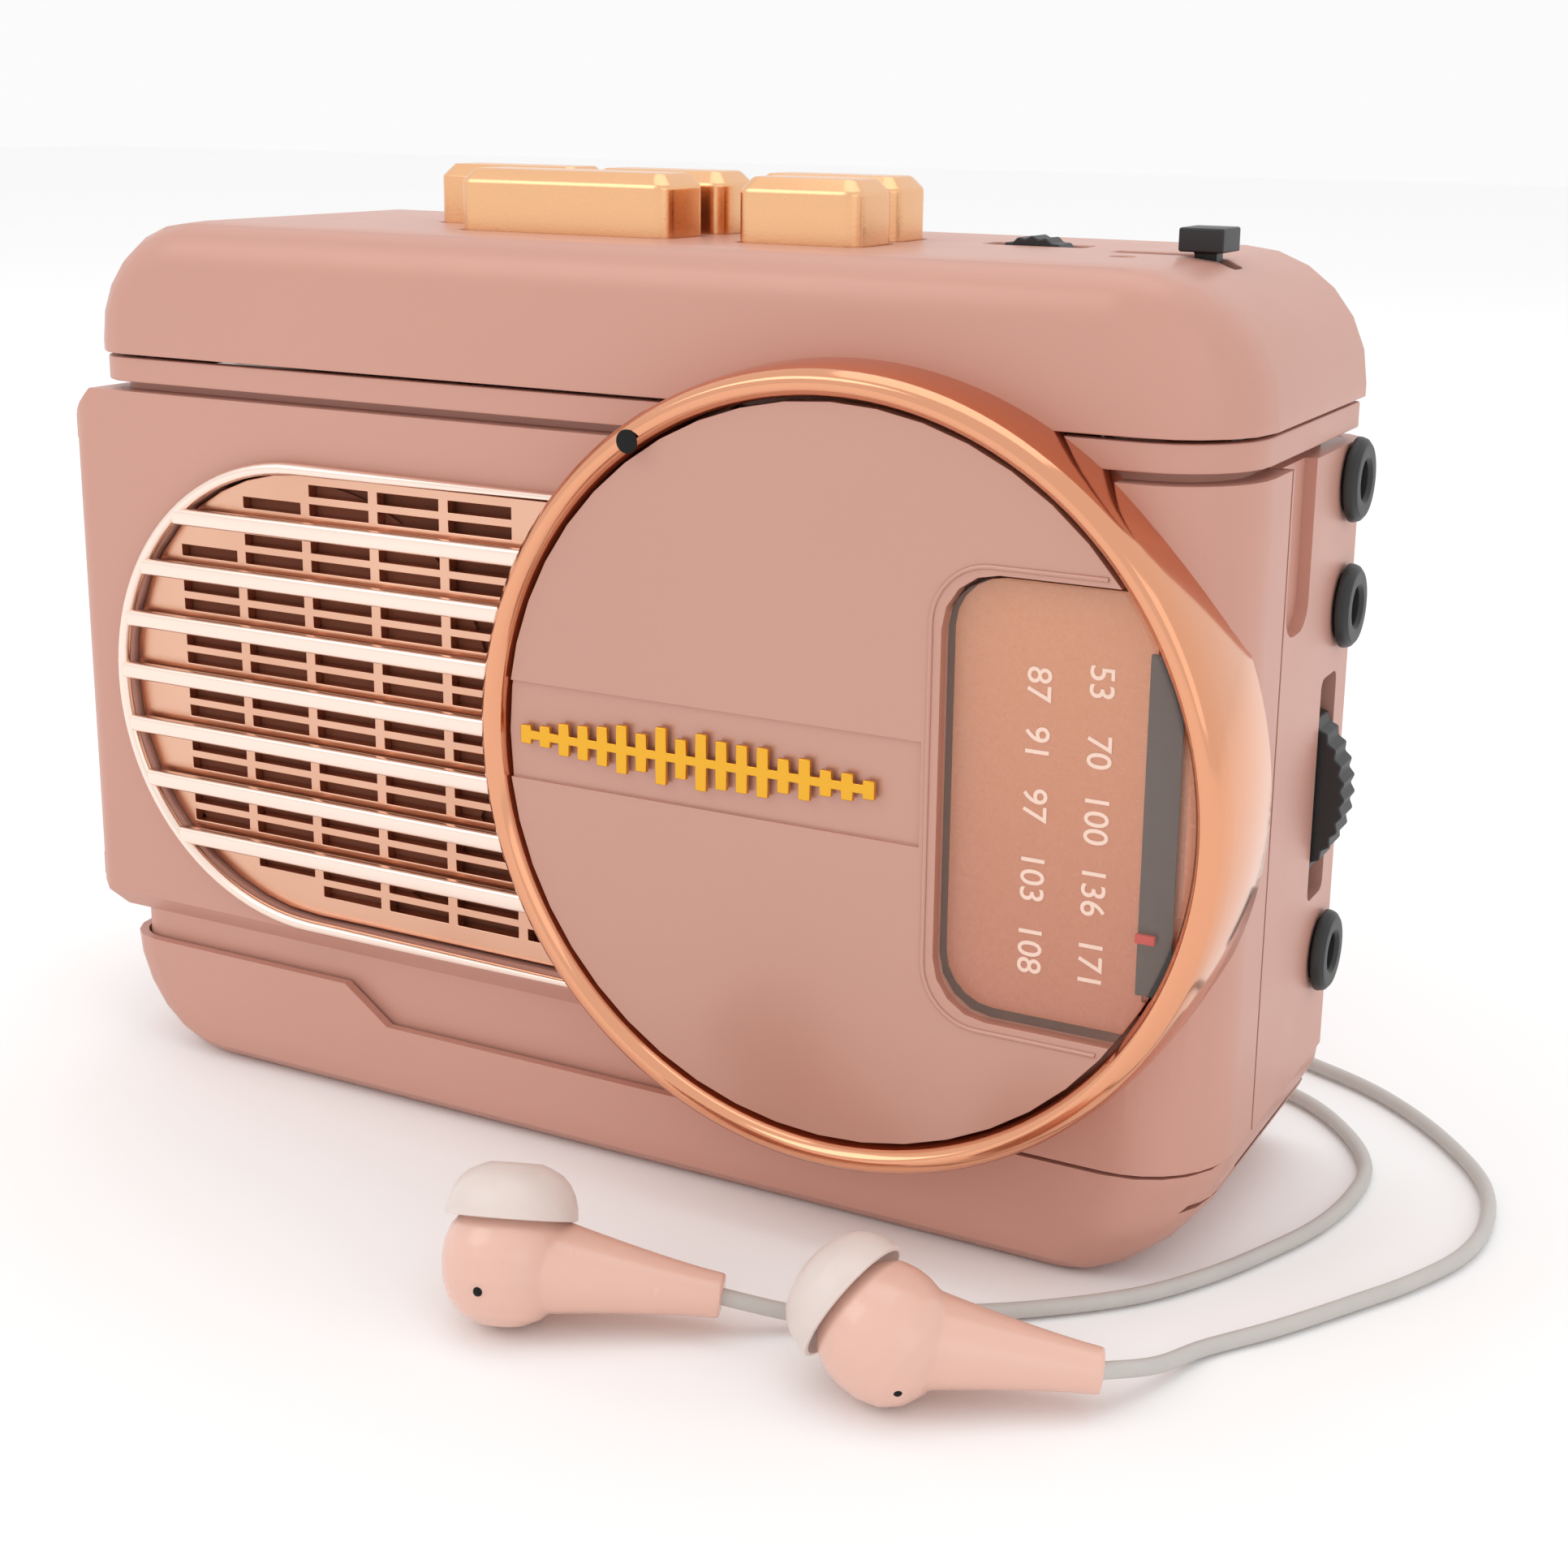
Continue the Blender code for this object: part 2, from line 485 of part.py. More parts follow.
def heads():
    at = (TAPE_X, 23.4, 78.0)
    plate = prism("head_plate", round_rect(-42.0, 24.0, 75.4, HEAD_TOP, 1.5), "Y", 22.9, 23.9, at, steel())
    add(plate, rod("g_roller_axle", 0.8, "Y", 23.0, 33.9, (CAPSTAN_X, 0, 78.75), None, 12))
    head = box("playback_head", (TAPE_X - 6, TAPE_X + 6), (24.2, 34.6), (74.6, HEAD_TOP), at, steel())
    cut(head, box("c_head_slot", (TAPE_X - 3.2, TAPE_X + 3.2), (24, 25.5), (74, 76)))
    box("erase_head", (TAPE_X - 22, TAPE_X - 13), (24.2, 34.0), (74.6, 80.5), at, black_plastic())
    roller = [(1.15, 26.5), (4.3, 26.5), (4.3, 33.2), (1.15, 33.2)]
    lathe("pinch_roller", roller, "Y", (CAPSTAN_X, 0, 78.75), material("belt_rubber", (0, 0, 0), 0.7), 24)


# ---------------------------------------------------------------- front
def grille_outline(r, ring):
    """Half-round on the left, ending on the right in a circle of radius `ring` around the dial."""
    top = arc(GRILLE_X, GRILLE_Z, r, r, 90, 270, 20)
    low = math.degrees(math.asin((r - (GRILLE_Z - DIAL_Z)) / ring))
    high = math.degrees(math.asin((r + (GRILLE_Z - DIAL_Z)) / ring))
    return top + arc(DIAL_X, DIAL_Z, ring, ring, 180 + low, 180 - high, 10)


def grille():
    mat = trim_chrome()
    frame = prism("grille_frame", grille_outline(GRILLE_R, RING_OUT + 0.4), "Y", -1.6, -0.35, (0, 0, 0), mat)
    cut(frame, prism("c_grille", grille_outline(GRILLE_R - 1.2, RING_OUT + 1.1), "Y", -3, 3))
    for i in range(7):
        z = 42.2 + 5.6 * (i - 3)
        half = math.sqrt((GRILLE_R - 0.7) ** 2 - (z - GRILLE_Z) ** 2)
        x_ring = DIAL_X - math.sqrt((RING_OUT + 0.8) ** 2 - (z - DIAL_Z) ** 2)
        bar = arc(-1.0, z, 0.75, 0.85, 90, 450, 10)[:-1]
        add(frame, prism("g_bar_%d" % i, bar, "X", GRILLE_X - half, x_ring))
    lattice_mat = material("rose_chrome_deep", (0.72, 0.42, 0.30), 0.22, 1.0)
    panel = grille_outline(GRILLE_R - 1.35, RING_OUT - 2.6)
    lattice = prism("grille_lattice", panel, "Y", 0.3, 1.5, (0, 0, 0), lattice_mat)
    for row in range(16):
        z = 42.2 + 5.6 * (row // 2 - 3.5) + (0.95 if row % 2 else -0.95)
        for col in range(7):
            x = -54.2 + 8.3 * col
            slot_x, slot_z = (x - 3.6, x + 3.6), (z - 0.55, z + 0.55)
            corner = max(math.hypot(min(a - GRILLE_X, 0), b - GRILLE_Z) for a in slot_x for b in slot_z)
            reach = min(math.hypot(a - DIAL_X, b - DIAL_Z) for a in slot_x for b in slot_z)
            if corner > GRILLE_R - 2.2 or reach < RING_OUT - 1.6:
                continue
            cut(lattice, box("c_slot_%d_%d" % (row, col), slot_x, (-1, 3), slot_z))


def speaker():
    basket = [(17.6, 3.6), (18.6, 3.6), (18.6, 4.6), (12.0, 7.4), (9.5, 8.2), (9.5, 12.4), (0, 12.4), (0, 8.6),
              (8.0, 7.0), (17.0, 4.6)]
    lathe("speaker_basket", basket, "Y", (GRILLE_X, 0, GRILLE_Z), black_plastic(), 28)
    cone = [(0, 3.9), (3.6, 4.6), (5.0, 5.6), (15.2, 3.4), (16.9, 3.9), (15.2, 3.9), (5.0, 6.4), (0, 6.2)]
    lathe("speaker_cone", cone, "Y", (GRILLE_X, 0, GRILLE_Z), material("paper", (0.05, 0.05, 0.05), 0.8), 28)


def dial():
    centre = (DIAL_X, 0, DIAL_Z)
    rim = [(RING_IN, 6.5), (RING_IN, -4.8), (RING_IN + 0.7, -5.7), (RING_IN + 1.3, -6.0), (RING_OUT - 1.3, -5.9),
           (RING_OUT - 0.8, -5.2), (RING_OUT - 0.5, -3.0), (RING_OUT, -0.3), (RING_OUT, 6.5)]
    ring = lathe("dial_ring", rim, "Y", centre, material("copper_chrome", (0.72, 0.36, 0.20), 0.1, 1.0), 56)
    cut(ring, prism("c_ring_back", plan(-0.35, 30), "Z", -5, 100))
    lamp_x, lamp_z = DIAL_X - 18.9, DIAL_Z + 28.0
    cut(ring, rod("c_lamp", 0.85, "Y", -8, -4.0, (lamp_x, 0, lamp_z)))
    rod("power_lamp", 0.55, "Y", -5.9, -4.3, (lamp_x, 0, lamp_z), black_plastic(), 16)
    disc_mat = material("rose_satin_metal", (0.66, 0.38, 0.30), 0.35, 0.8)
    disc = rod("dial_disc", RING_IN - GAP, "Y", -4.9, -3.4, centre, disc_mat, 48)
    opening = round_rect(37.05, 70, 24.85, 63.35, 5.0)
    cut(disc, box("c_strip", (-20, 35.5), (-6, -4.5), (39.3, 48.5)))
    cut(disc, prism("c_window", opening, "Y", -8, 0))
    window = [(x, z) for x, z in round_rect(37.4, 75, 25.2, 63.0, 4.7, 5) if x < 60]
    lens_edge = [(DIAL_X + a, DIAL_Z + b) for a, b in right_arc(RING_IN - 0.4, 25.2, 63.0)]
    lens_mat = material("amber_clear", (0.85, 0.50, 0.32), 0.05, 0.0, 0.35)
    prism("dial_lens", lens_edge + window, "Y", -4.7, -4.0, centre, lens_mat)
    scale_mat = material("copper_print", (0.62, 0.27, 0.16), 0.3, 0.4)
    scale_edge = [(x, z) for x, z in round_rect(37.4, 75, 25.4, 62.8, 4.5, 5) if x < 60]
    lens_edge = [(DIAL_X + a, DIAL_Z + b) for a, b in right_arc(RING_IN - 0.4, 25.4, 62.8)]
    scale = prism("dial_scale", lens_edge + scale_edge, "Y", -2.8, -2.0, centre, scale_mat)
    cut(scale, box("c_track", (55.0, 58.0), (-3.5, -2.4), (28.6, 58.6)))
    red = material("pointer_red", (0.6, 0.03, 0.02), 0.4)
    box("tuning_pointer", (54.4, 56.1), (-3.6, -3.1), (33.9, 34.7), (55.25, -3.35, 34.3), red)
    emblem()


def right_arc(radius, z_low, z_high):
    """Points on the dial circle between two heights, on its right side, from low to high."""
    a0 = math.degrees(math.asin((z_low - DIAL_Z) / radius))
    a1 = math.degrees(math.asin((z_high - DIAL_Z) / radius))
    return arc(0, 0, radius, radius, a0, a1, 14)


def emblem():
    """Ornament shaped like a sound wave: one bar with strokes of changing height."""
    strokes, pitch, width = 18, 2.05, 1.1
    top, bottom = [], []
    for i in range(strokes):
        x = -4.5 + pitch * i
        swell = math.sin(math.pi * (i + 0.5) / strokes)
        tall = 0.7 + 2.0 * swell * (0.45 + 0.55 * abs(math.cos(1.35 * i)))
        top += [(x, 44.1), (x, 43.7 + tall), (x + width, 43.7 + tall), (x + width, 44.1)]
        bottom += [(x, 43.3), (x, 43.7 - tall), (x + width, 43.7 - tall), (x + width, 43.3)]
    gold = material("gold", (0.80, 0.45, 0.05), 0.25, 1.0)
    prism("emblem", bottom + top[::-1], "Y", -5.35, -4.8, (0, 0, 0), gold)


# ---------------------------------------------------------------- controls
KEYS = (
    ("play_key", (-21.3, 2.0), (9.7, 17.2)),
    ("eject_key", (9.1, 21.5), (9.7, 17.2)),
    ("record_key", (-30.4, -13.9), (18.9, 26.0)),
    ("rewind_key", (-12.6, 2.6), (18.9, 26.0)),
    ("forward_key", (5.6, 20.8), (18.9, 26.0)),
)


def keys():
    for name, x, y in KEYS:
        at = (sum(x) / 2, sum(y) / 2, HEIGHT)
        sections = []
        for z, inset in ((KEY_BOTTOM, 0), (KEY_TOP - 1.2, 0), (KEY_TOP, 1.1)):
            outline = round_rect(x[0] + inset, x[1] - inset, y[0] + inset, y[1] - inset, 1.5 - inset * 0.6, 3)
            sections.append(lift(outline, "Z", z))
        key = loft(name, sections, at, key_metal())
        front = y[0] < SEAM
        stem_y = (12.6, 14.4) if front else (19.6, 22.2)
        add(key, box("g_stem_" + name, (at[0] - 2.5, at[0] + 2.5), stem_y, (81.7, 85.0), (0, 0, 0)))


def controls():
    knurl = []
    for i in range(80):
        angle, r = math.tau * i / 80, WHEEL_R - (0.45 if i % 2 else 0.0)
        knurl.append((WHEEL_X + r * math.cos(angle), WHEEL_Z + r * math.sin(angle)))
    wheel = prism("tuning_wheel", knurl, "Y", 28.5, 32.4, (WHEEL_X, 30.5, WHEEL_Z), black_plastic())
    gang = round_rect(46.3, 58.0, 32.7, 44.5, 1.0)
    prism("tuning_capacitor", gang, "Y", 20.9, 28.1, (0, 0, 0), material("milky", (0.7, 0.68, 0.6), 0.4))
    rim = []
    for i in range(48):
        angle, r = math.tau * i / 48, VOLUME_R - (0.3 if i % 2 else 0.0)
        rim.append((VOLUME_X + r * math.cos(angle), VOLUME_Z + r * math.sin(angle)))
    prism("volume_wheel", rim, "Y", 22.6, 25.9, (VOLUME_X, 24.2, VOLUME_Z), black_plastic())
    prism("volume_control", round_rect(27.0, 38.2, 77.9, 85.6, 1.0), "Y", 15.5, 22.2, (0, 0, 0), steel())
    knob = box("band_switch", (48.0, 52.0), (17.6, 22.4), (HEIGHT + GAP, HEIGHT + 2.4), (50.0, 20.0, HEIGHT),
               black_plastic())
    add(knob, box("g_knob_stem", (49.0, 51.0), (19.0, 21.0), (85.9, HEIGHT + 1.0)))
    mic = [(0, 82.6), (2.9, 82.6), (2.9, 85.4), (1.0, 85.4), (1.0, 85.0), (0, 85.0)]
    lathe("microphone", mic, "Z", (44.4, 13.2, 0), black_plastic(), 24)
    for name, z in JACK_Z.items():
        shape = [(1.8, 1.5), (3.6, 1.5), (3.9, 1.2), (3.9, GAP), (2.9, GAP), (2.9, -11.0), (0, -11.0),
                 (0, -9.8), (1.8, -9.8)]
        lathe("jack_" + name, shape, "X", (RIGHT, JACK_Y, z), black_plastic(), 20)


def electronics():
    green = material("board_green", (0.05, 0.22, 0.10), 0.5)
    prism("circuit_board", round_rect(-4.0, 54.8, 21.0, 65.5, 1.0), "Y", 3.4, 4.9, (0, 0, 0), green)
    rod("antenna_rod", 2.6, "X", -50.0, -6.0, (0, 5.9, 81.0), material("ferrite", (0.1, 0.09, 0.09), 0.6), 16)


# ---------------------------------------------------------------- earphones
BUDS = {
    "left": {"body": (9.6, -28.7, 5.8), "tip": (-0.15, 0.42, 0.90), "stem": (26.5, -22.0, 3.6)},
    "right": {"body": (42.3, -23.9, 5.8), "tip": (-0.88, 0.12, 0.46), "stem": (58.3, -17.6, 3.6)},
}
COIL = (-22.0, 84.0)
SPLITTER = ((-24.0, 58.4, 1.6), (-33.5, 60.4, 1.6))


def bud_pose(pose):
    """Matrix from bud space (Z = towards the ear tip, X = towards the stem) to body space."""
    out = Vector(pose["tip"]).normalized()
    along = Vector(pose["stem"]) - Vector(pose["body"])
    along = (along - out * along.dot(out)).normalized()
    side = out.cross(along)
    turn = Matrix((along, side, out)).transposed().to_4x4()
    return Matrix.Translation(Vector(pose["body"])) @ turn


def earbuds():
    shell = material("peach_gloss", (0.80, 0.42, 0.30), 0.25)
    silicone = material("clear_silicone", (0.85, 0.80, 0.78), 0.3, 0.0, 0.6)
    for name, pose in BUDS.items():
        frame = bud_pose(pose)
        bm = bmesh.new()
        profile = [(0, -5.6), (3.0, -5.0), (4.8, -3.2), (5.5, 0), (5.2, 2.0), (4.4, 3.3), (3.2, 4.1),
                   (2.0, 4.5), (2.0, 7.3), (0, 7.3)]
        steps = 16
        turn_profile(bm, profile, steps, frame)
        body = finish("earbud_" + name, bm, pose["body"], shell, 50)
        shift_to_origin(body, pose["body"])
        start, end = Vector(pose["body"]), Vector(pose["stem"])
        stem = tapered("g_stem_" + name, start, end, 3.9, 1.9, shell)
        add(body, stem)
        bm = bmesh.new()
        tip = [(2.4, 4.9), (2.4, 7.6), (1.5, 7.8), (1.2, 8.3), (3.0, 8.1), (4.7, 6.9), (5.5, 5.0),
               (5.7, 3.9), (5.35, 3.8), (5.0, 5.2), (4.2, 6.4), (3.3, 6.9), (3.0, 4.9)]
        turn_profile(bm, tip, steps, frame)
        cap = finish("ear_tip_" + name, bm, pose["body"], silicone, 50)
        shift_to_origin(cap, pose["body"])


def turn_profile(bm, profile, steps, frame):
    """Lathe a (radius, height) loop around Z and carry it into place with `frame`."""
    rings = []
    for k in range(steps):
        a = math.tau * k / steps
        rings.append([bm.verts.new(frame @ Vector((r * math.cos(a), r * math.sin(a), h))) for r, h in profile])
    for k in range(steps):
        low, high = rings[k], rings[(k + 1) % steps]
        for i in range(len(profile)):
            j = (i + 1) % len(profile)
            if profile[i][0] == 0 and profile[j][0] == 0:
                continue
            bm.faces.new((low[i], low[j], high[j], high[i]))
    bmesh.ops.remove_doubles(bm, verts=bm.verts, dist=1e-4)
    bmesh.ops.dissolve_degenerate(bm, dist=1e-5, edges=bm.edges)


def shift_to_origin(obj, at):
    obj.data.transform(Matrix.Translation(-Vector(at) * MM))


def tapered(name, start, end, r0, r1, mat):
    along = (end - start).normalized()
    side = along.cross(Vector((0, 0, 1))).normalized()
    up = side.cross(along)
    sections = []
    for t, r in ((0.0, r0), (0.5, r0 * 0.8), (0.85, r1 * 1.25), (1.0, r1)):
        centre = start.lerp(end, t)
        sections.append([centre + side * (r * math.cos(a)) + up * (r * math.sin(a) * 0.92)
                         for a in (math.tau * k / 16 for k in range(16))])
    return loft(name, sections, (0, 0, 0), mat, 60)


def cords():
    grey = material("lead_grey", (0.42, 0.40, 0.36), 0.5)
    z = CORD_D / 2 + 0.15
    left = [(27.6, -21.5, 3.5), (31.0, -19.0, 1.9), (35.5, -16.0, z), (40.2, -12.4, z), (48.0, -7.0, z),
            (55.1, -0.5, z), (59.3, 5.6, z), (62.4, 11.8, z), (65.3, 19.2, z), (66.6, 26.5, z), (66.2, 33.5, z),
            (62.5, 40.2, z), (56.0, 46.0, z), (44.0, 49.5, z), (30.0, 50.0, z), (12.0, 46.5, z),
            (-6.0, 48.5, z), (-16.0, 53.5, z), (SPLITTER[0][0] + 0.4, 57.4, 1.2)]
    right = [(59.3, -17.0, 3.5), (60.8, -12.0, 1.9), (62.8, -6.0, z), (67.1, -0.1, z), (72.0, 7.6, z),
             (75.4, 13.4, z), (78.3, 20.5, z), (78.9, 27.0, z), (77.2, 35.0, z), (71.5, 43.4, z),
             (63.7, 50.5, z), (56.0, 54.5, z), (36.0, 61.5, z), (18.0, 59.5, z), (2.0, 56.5, z),
             (-12.0, 58.0, z), (SPLITTER[0][0] + 0.4, 59.6, 1.2)]
    tube("lead_left", left, CORD_D, grey, 4.2)
    tube("lead_right", right, CORD_D, grey, 4.2)
    start, end = Vector(SPLITTER[0]), Vector(SPLITTER[1])
    tapered("lead_splitter", start, end, 1.75, 1.3, grey)
    zm = MAIN_D / 2 + 0.1
    main = [(-34.0, 60.5, 1.5), (-38.2, 62.0, zm), (-40.6, 66.5, zm), (-40.0, 72.0, zm), (-37.9, 77.2, zm)]
    tube("main_lead", main, MAIN_D, grey, 3.0)
    ring = [(8.6, 0.3), (15.2, 0.3), (15.6, 1.6), (15.6, 7.4), (14.6, 8.5), (9.4, 8.5), (8.4, 7.4), (8.4, 1.2)]
    lathe("lead_coil", ring, "Z", (*COIL, 0.0), grey, 24)
    plug()


def plug():
    """Turned 3.5 mm plug, in line with the turn of the coil that leads to it."""
    grip = [(0, 0), (1.7, 0), (2.4, 3.0), (3.1, 6.0), (3.4, 8.0), (3.4, 18.0), (3.0, 18.6)]
    pin = [(1.7, 18.7), (1.7, 30.0), (1.35, 30.5), (1.75, 31.4), (0.8, 33.4), (0, 33.4)]
    at = (COIL[0] + 15.6, COIL[1] + 8.5, 3.7)
    piece = lathe("plug", grip + pin, "X", at, material("plug_grey", (0.36, 0.34, 0.31), 0.45), 20)
    piece.rotation_euler = (0, 0, math.radians(-24))


def main():
    clear_scene()
    front_panel()
    rear_shell()
    top_cap()
    cap_band()
    base_shell()
    battery_door()
    battery_tray()
    cassette_door()
    deck_plate()
    reels()
    drive()
    heads()
    grille()
    speaker()
    dial()
    keys()
    controls()
    electronics()
    earbuds()
    cords()


main()
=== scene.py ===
"""Looks of a personal cassette player with a radio dial and wired earphones.

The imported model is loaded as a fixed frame. Each operator below makes one group of
pieces on it, in metres, and the last one sets up the floor, the lights and the camera.
"""

import json
import math

import bmesh
import bpy
from mathutils import Matrix, Vector

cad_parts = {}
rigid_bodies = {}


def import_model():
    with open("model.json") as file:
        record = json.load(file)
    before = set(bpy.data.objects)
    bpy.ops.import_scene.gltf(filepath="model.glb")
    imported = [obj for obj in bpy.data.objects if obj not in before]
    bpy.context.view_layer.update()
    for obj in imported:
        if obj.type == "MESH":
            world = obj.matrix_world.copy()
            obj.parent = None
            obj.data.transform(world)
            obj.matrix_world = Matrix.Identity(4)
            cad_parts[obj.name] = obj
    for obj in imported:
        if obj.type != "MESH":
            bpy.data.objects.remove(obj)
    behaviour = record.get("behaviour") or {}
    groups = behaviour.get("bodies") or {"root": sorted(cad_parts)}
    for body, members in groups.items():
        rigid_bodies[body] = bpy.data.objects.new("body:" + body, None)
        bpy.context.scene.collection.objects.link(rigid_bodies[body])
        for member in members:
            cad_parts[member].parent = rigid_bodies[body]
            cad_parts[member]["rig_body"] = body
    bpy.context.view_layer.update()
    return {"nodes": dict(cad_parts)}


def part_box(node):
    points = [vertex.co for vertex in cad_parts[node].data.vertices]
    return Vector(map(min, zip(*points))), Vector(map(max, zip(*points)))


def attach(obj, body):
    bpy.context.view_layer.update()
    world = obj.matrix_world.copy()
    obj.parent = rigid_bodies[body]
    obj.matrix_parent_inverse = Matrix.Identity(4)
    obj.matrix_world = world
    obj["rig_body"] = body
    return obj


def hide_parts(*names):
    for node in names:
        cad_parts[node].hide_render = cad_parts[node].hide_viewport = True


bl_info = {
    "name": "Cassette Player",
    "version": (1, 0, 0),
    "blender": (4, 5, 0),
    "location": "View3D > Sidebar > Player",
    "description": "Models the finished look of a cassette player on its packed frame",
    "category": "Object",
}

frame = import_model()
MM = 0.001
CENTRE = Vector((0.65, -16.05, 0.0)) * MM   # where the body's own origin lies
LEAD, MAIN_LEAD = 1.4, 2.0                  # cord diameters in mm
GRILLE_Z, BAR_PITCH = 42.2, 5.6             # middle bar and the step between bars, in mm


def place(x, y, z):
    """A point given in the body's own millimetres, in metres in the frame."""
    return Vector((x, y, z)) * MM + CENTRE


def middle(node):
    low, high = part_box(node)
    return (low + high) / 2


def size_of(node):
    low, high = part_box(node)
    return high - low


# ---------------------------------------------------------------- shader expressions
class Socket:
    """A node output or a number, with arithmetic that adds Math nodes."""

    def __init__(self, shader, source):
        self.shader, self.source = shader, source

    def math(self, operation, *others, clamp=False):
        inputs = {i: value for i, value in enumerate((self,) + others)}
        return self.shader.node("ShaderNodeMath", {"operation": operation, "use_clamp": clamp}, inputs)

    def __add__(self, other):
        return self.math("ADD", other)

    def __sub__(self, other):
        return self.math("SUBTRACT", other)

    def __rsub__(self, other):
        return Socket(self.shader, other).math("SUBTRACT", self)

    def __mul__(self, other):
        return self.math("MULTIPLY", other)

    __radd__, __rmul__ = __add__, __mul__


class Shader:
    """One material's node tree."""

    def __init__(self, name):
        self.material = bpy.data.materials.new(name)
        self.material.use_nodes = True
        self.tree = self.material.node_tree
        self.surface = self.tree.nodes["Principled BSDF"]

    def feed(self, socket, value):
        source = value.source if isinstance(value, Socket) else value
        if isinstance(source, bpy.types.NodeSocket):
            self.tree.links.new(source, socket)
        else:
            socket.default_value = source

    def node(self, kind, settings=None, inputs=None, output=0):
        made = self.tree.nodes.new(kind)
        for name, value in (settings or {}).items():
            if name == "stops":
                ramp = made.color_ramp
                while len(ramp.elements) < len(value):
                    ramp.elements.new(0.5)
                for stop, (at, shade) in zip(ramp.elements, value):
                    stop.position, stop.color = at, (*shade, 1.0)
            else:
                setattr(made, name, value)
        for name, value in (inputs or {}).items():
            self.feed(made.inputs[name], value)
        return Socket(self, made.outputs[output])

    def position(self):
        return self.node("ShaderNodeTexCoord", output="Object")

    def noise(self, scale, detail=3.0, where=None):
        inputs = {"Vector": where or self.position(), "Scale": scale, "Detail": detail}
        return self.node("ShaderNodeTexNoise", inputs=inputs)

    def blend(self, amount, first, second):
        return self.node("ShaderNodeMix", {"data_type": "RGBA"}, {0: amount, 6: first, 7: second}, 2)

    def bump(self, height, strength, distance):
        inputs = {"Height": height, "Strength": strength, "Distance": distance}
        return self.node("ShaderNodeBump", inputs=inputs)

    def set(self, **values):
        for name, value in values.items():
            self.feed(self.surface.inputs[name.replace("_", " ")], value)
        return self.material


def rgba(colour):
    return (*colour, 1.0)


def tinted(colour, factor):
    return tuple(min(1.0, c * factor) for c in colour) + (1.0,)


def satin_plastic(name, colour, rough=0.4, metal=0.0, grain=0.25, coat=0.0):
    """Moulded plastic: fine spark grain, a soft drift of tone and slight handling marks."""
    shader = Shader(name)
    drift = shader.noise(22.0)
    grains = shader.noise(2600.0, 2.0)
    marks = shader.noise(160.0, 5.0)
    shade = shader.blend(drift, tinted(colour, 0.955), tinted(colour, 1.045))
    return shader.set(Base_Color=shade, Roughness=marks * 0.10 + (rough - 0.05), Metallic=metal,
                      Coat_Weight=coat, Coat_Roughness=0.18,
                      Normal=shader.bump(grains, grain, 0.00003))


def plated(name, colour, rough=0.1, shadow=None, grain=0.0):
    """Bright plating: a faint waviness in the gloss and a slightly deeper tone in patches."""
    shader = Shader(name)
    drift = shader.noise(34.0, 2.0)
    haze = shader.noise(420.0, 4.0)
    shade = shader.blend(drift, shadow or tinted(colour, 0.94), rgba(colour))
    values = {"Base_Color": shade, "Metallic": 1.0, "Roughness": haze * 0.05 + (rough - 0.025)}
    if grain:
        values["Normal"] = shader.bump(shader.noise(3000.0, 2.0), grain, 0.00003)
    return shader.set(**values)


def brushed(name, colour, along, rough=0.3):
    """Metal with fine strokes along one axis."""
    shader = Shader(name)
    stretch = tuple(60.0 if axis == along else 2400.0 for axis in "XYZ")
    strokes = shader.node("ShaderNodeMapping", inputs={"Vector": shader.position(), "Scale": stretch})
    lines = shader.noise(1.0, 3.0, strokes)
    shade = shader.blend(lines, tinted(colour, 0.85), tinted(colour, 1.08))
    return shader.set(Base_Color=shade, Metallic=1.0, Roughness=lines * 0.18 + (rough - 0.09),
                      Normal=shader.bump(lines, 0.15, 0.00002))


def clear_plastic(name, colour, alpha, rough=0.05):
    shader = Shader(name)
    smears = shader.noise(90.0, 4.0)
    return shader.set(Base_Color=rgba(colour), Alpha=alpha, Roughness=smears * 0.05 + rough,
                      Coat_Weight=0.6, Coat_Roughness=0.04)


def dial_print(name, top, bottom, low, high):
    """Printed card whose colour deepens from its top to its bottom."""
    shader = Shader(name)
    parts = shader.node("ShaderNodeSeparateXYZ", inputs={0: shader.position()}, output=2)
    up = (parts - low).math("DIVIDE", high - low, clamp=True)
    speck = shader.noise(900.0)
    shade = shader.blend(up, rgba(bottom), rgba(top))
    return shader.set(Base_Color=shade, Roughness=speck * 0.1 + 0.22, Coat_Weight=0.3)


def flexible(name, colour, rough=0.45):
    """Cord jacket or rubber: matte, with a faint extrusion texture."""
    shader = Shader(name)
    mottle = shader.noise(300.0)
    shade = shader.blend(mottle, tinted(colour, 0.93), tinted(colour, 1.05))
    return shader.set(Base_Color=shade, Roughness=mottle * 0.12 + rough,
                      Normal=shader.bump(shader.noise(1800.0), 0.12, 0.00003))


def translucent_rubber(name, colour):
    shader = Shader(name)
    cloud = shader.noise(240.0)
    shade = shader.blend(cloud, tinted(colour, 0.96), tinted(colour, 1.03))
    return shader.set(Base_Color=shade, Alpha=0.72, Roughness=cloud * 0.08 + 0.28,
                      Subsurface_Weight=0.5, Subsurface_Radius=(0.004, 0.003, 0.003))


FINISHES = {}


def finish(key):
    """The material for a record slot, made once."""
    if key not in FINISHES:
        FINISHES[key] = RECIPES[key]()
    return FINISHES[key]


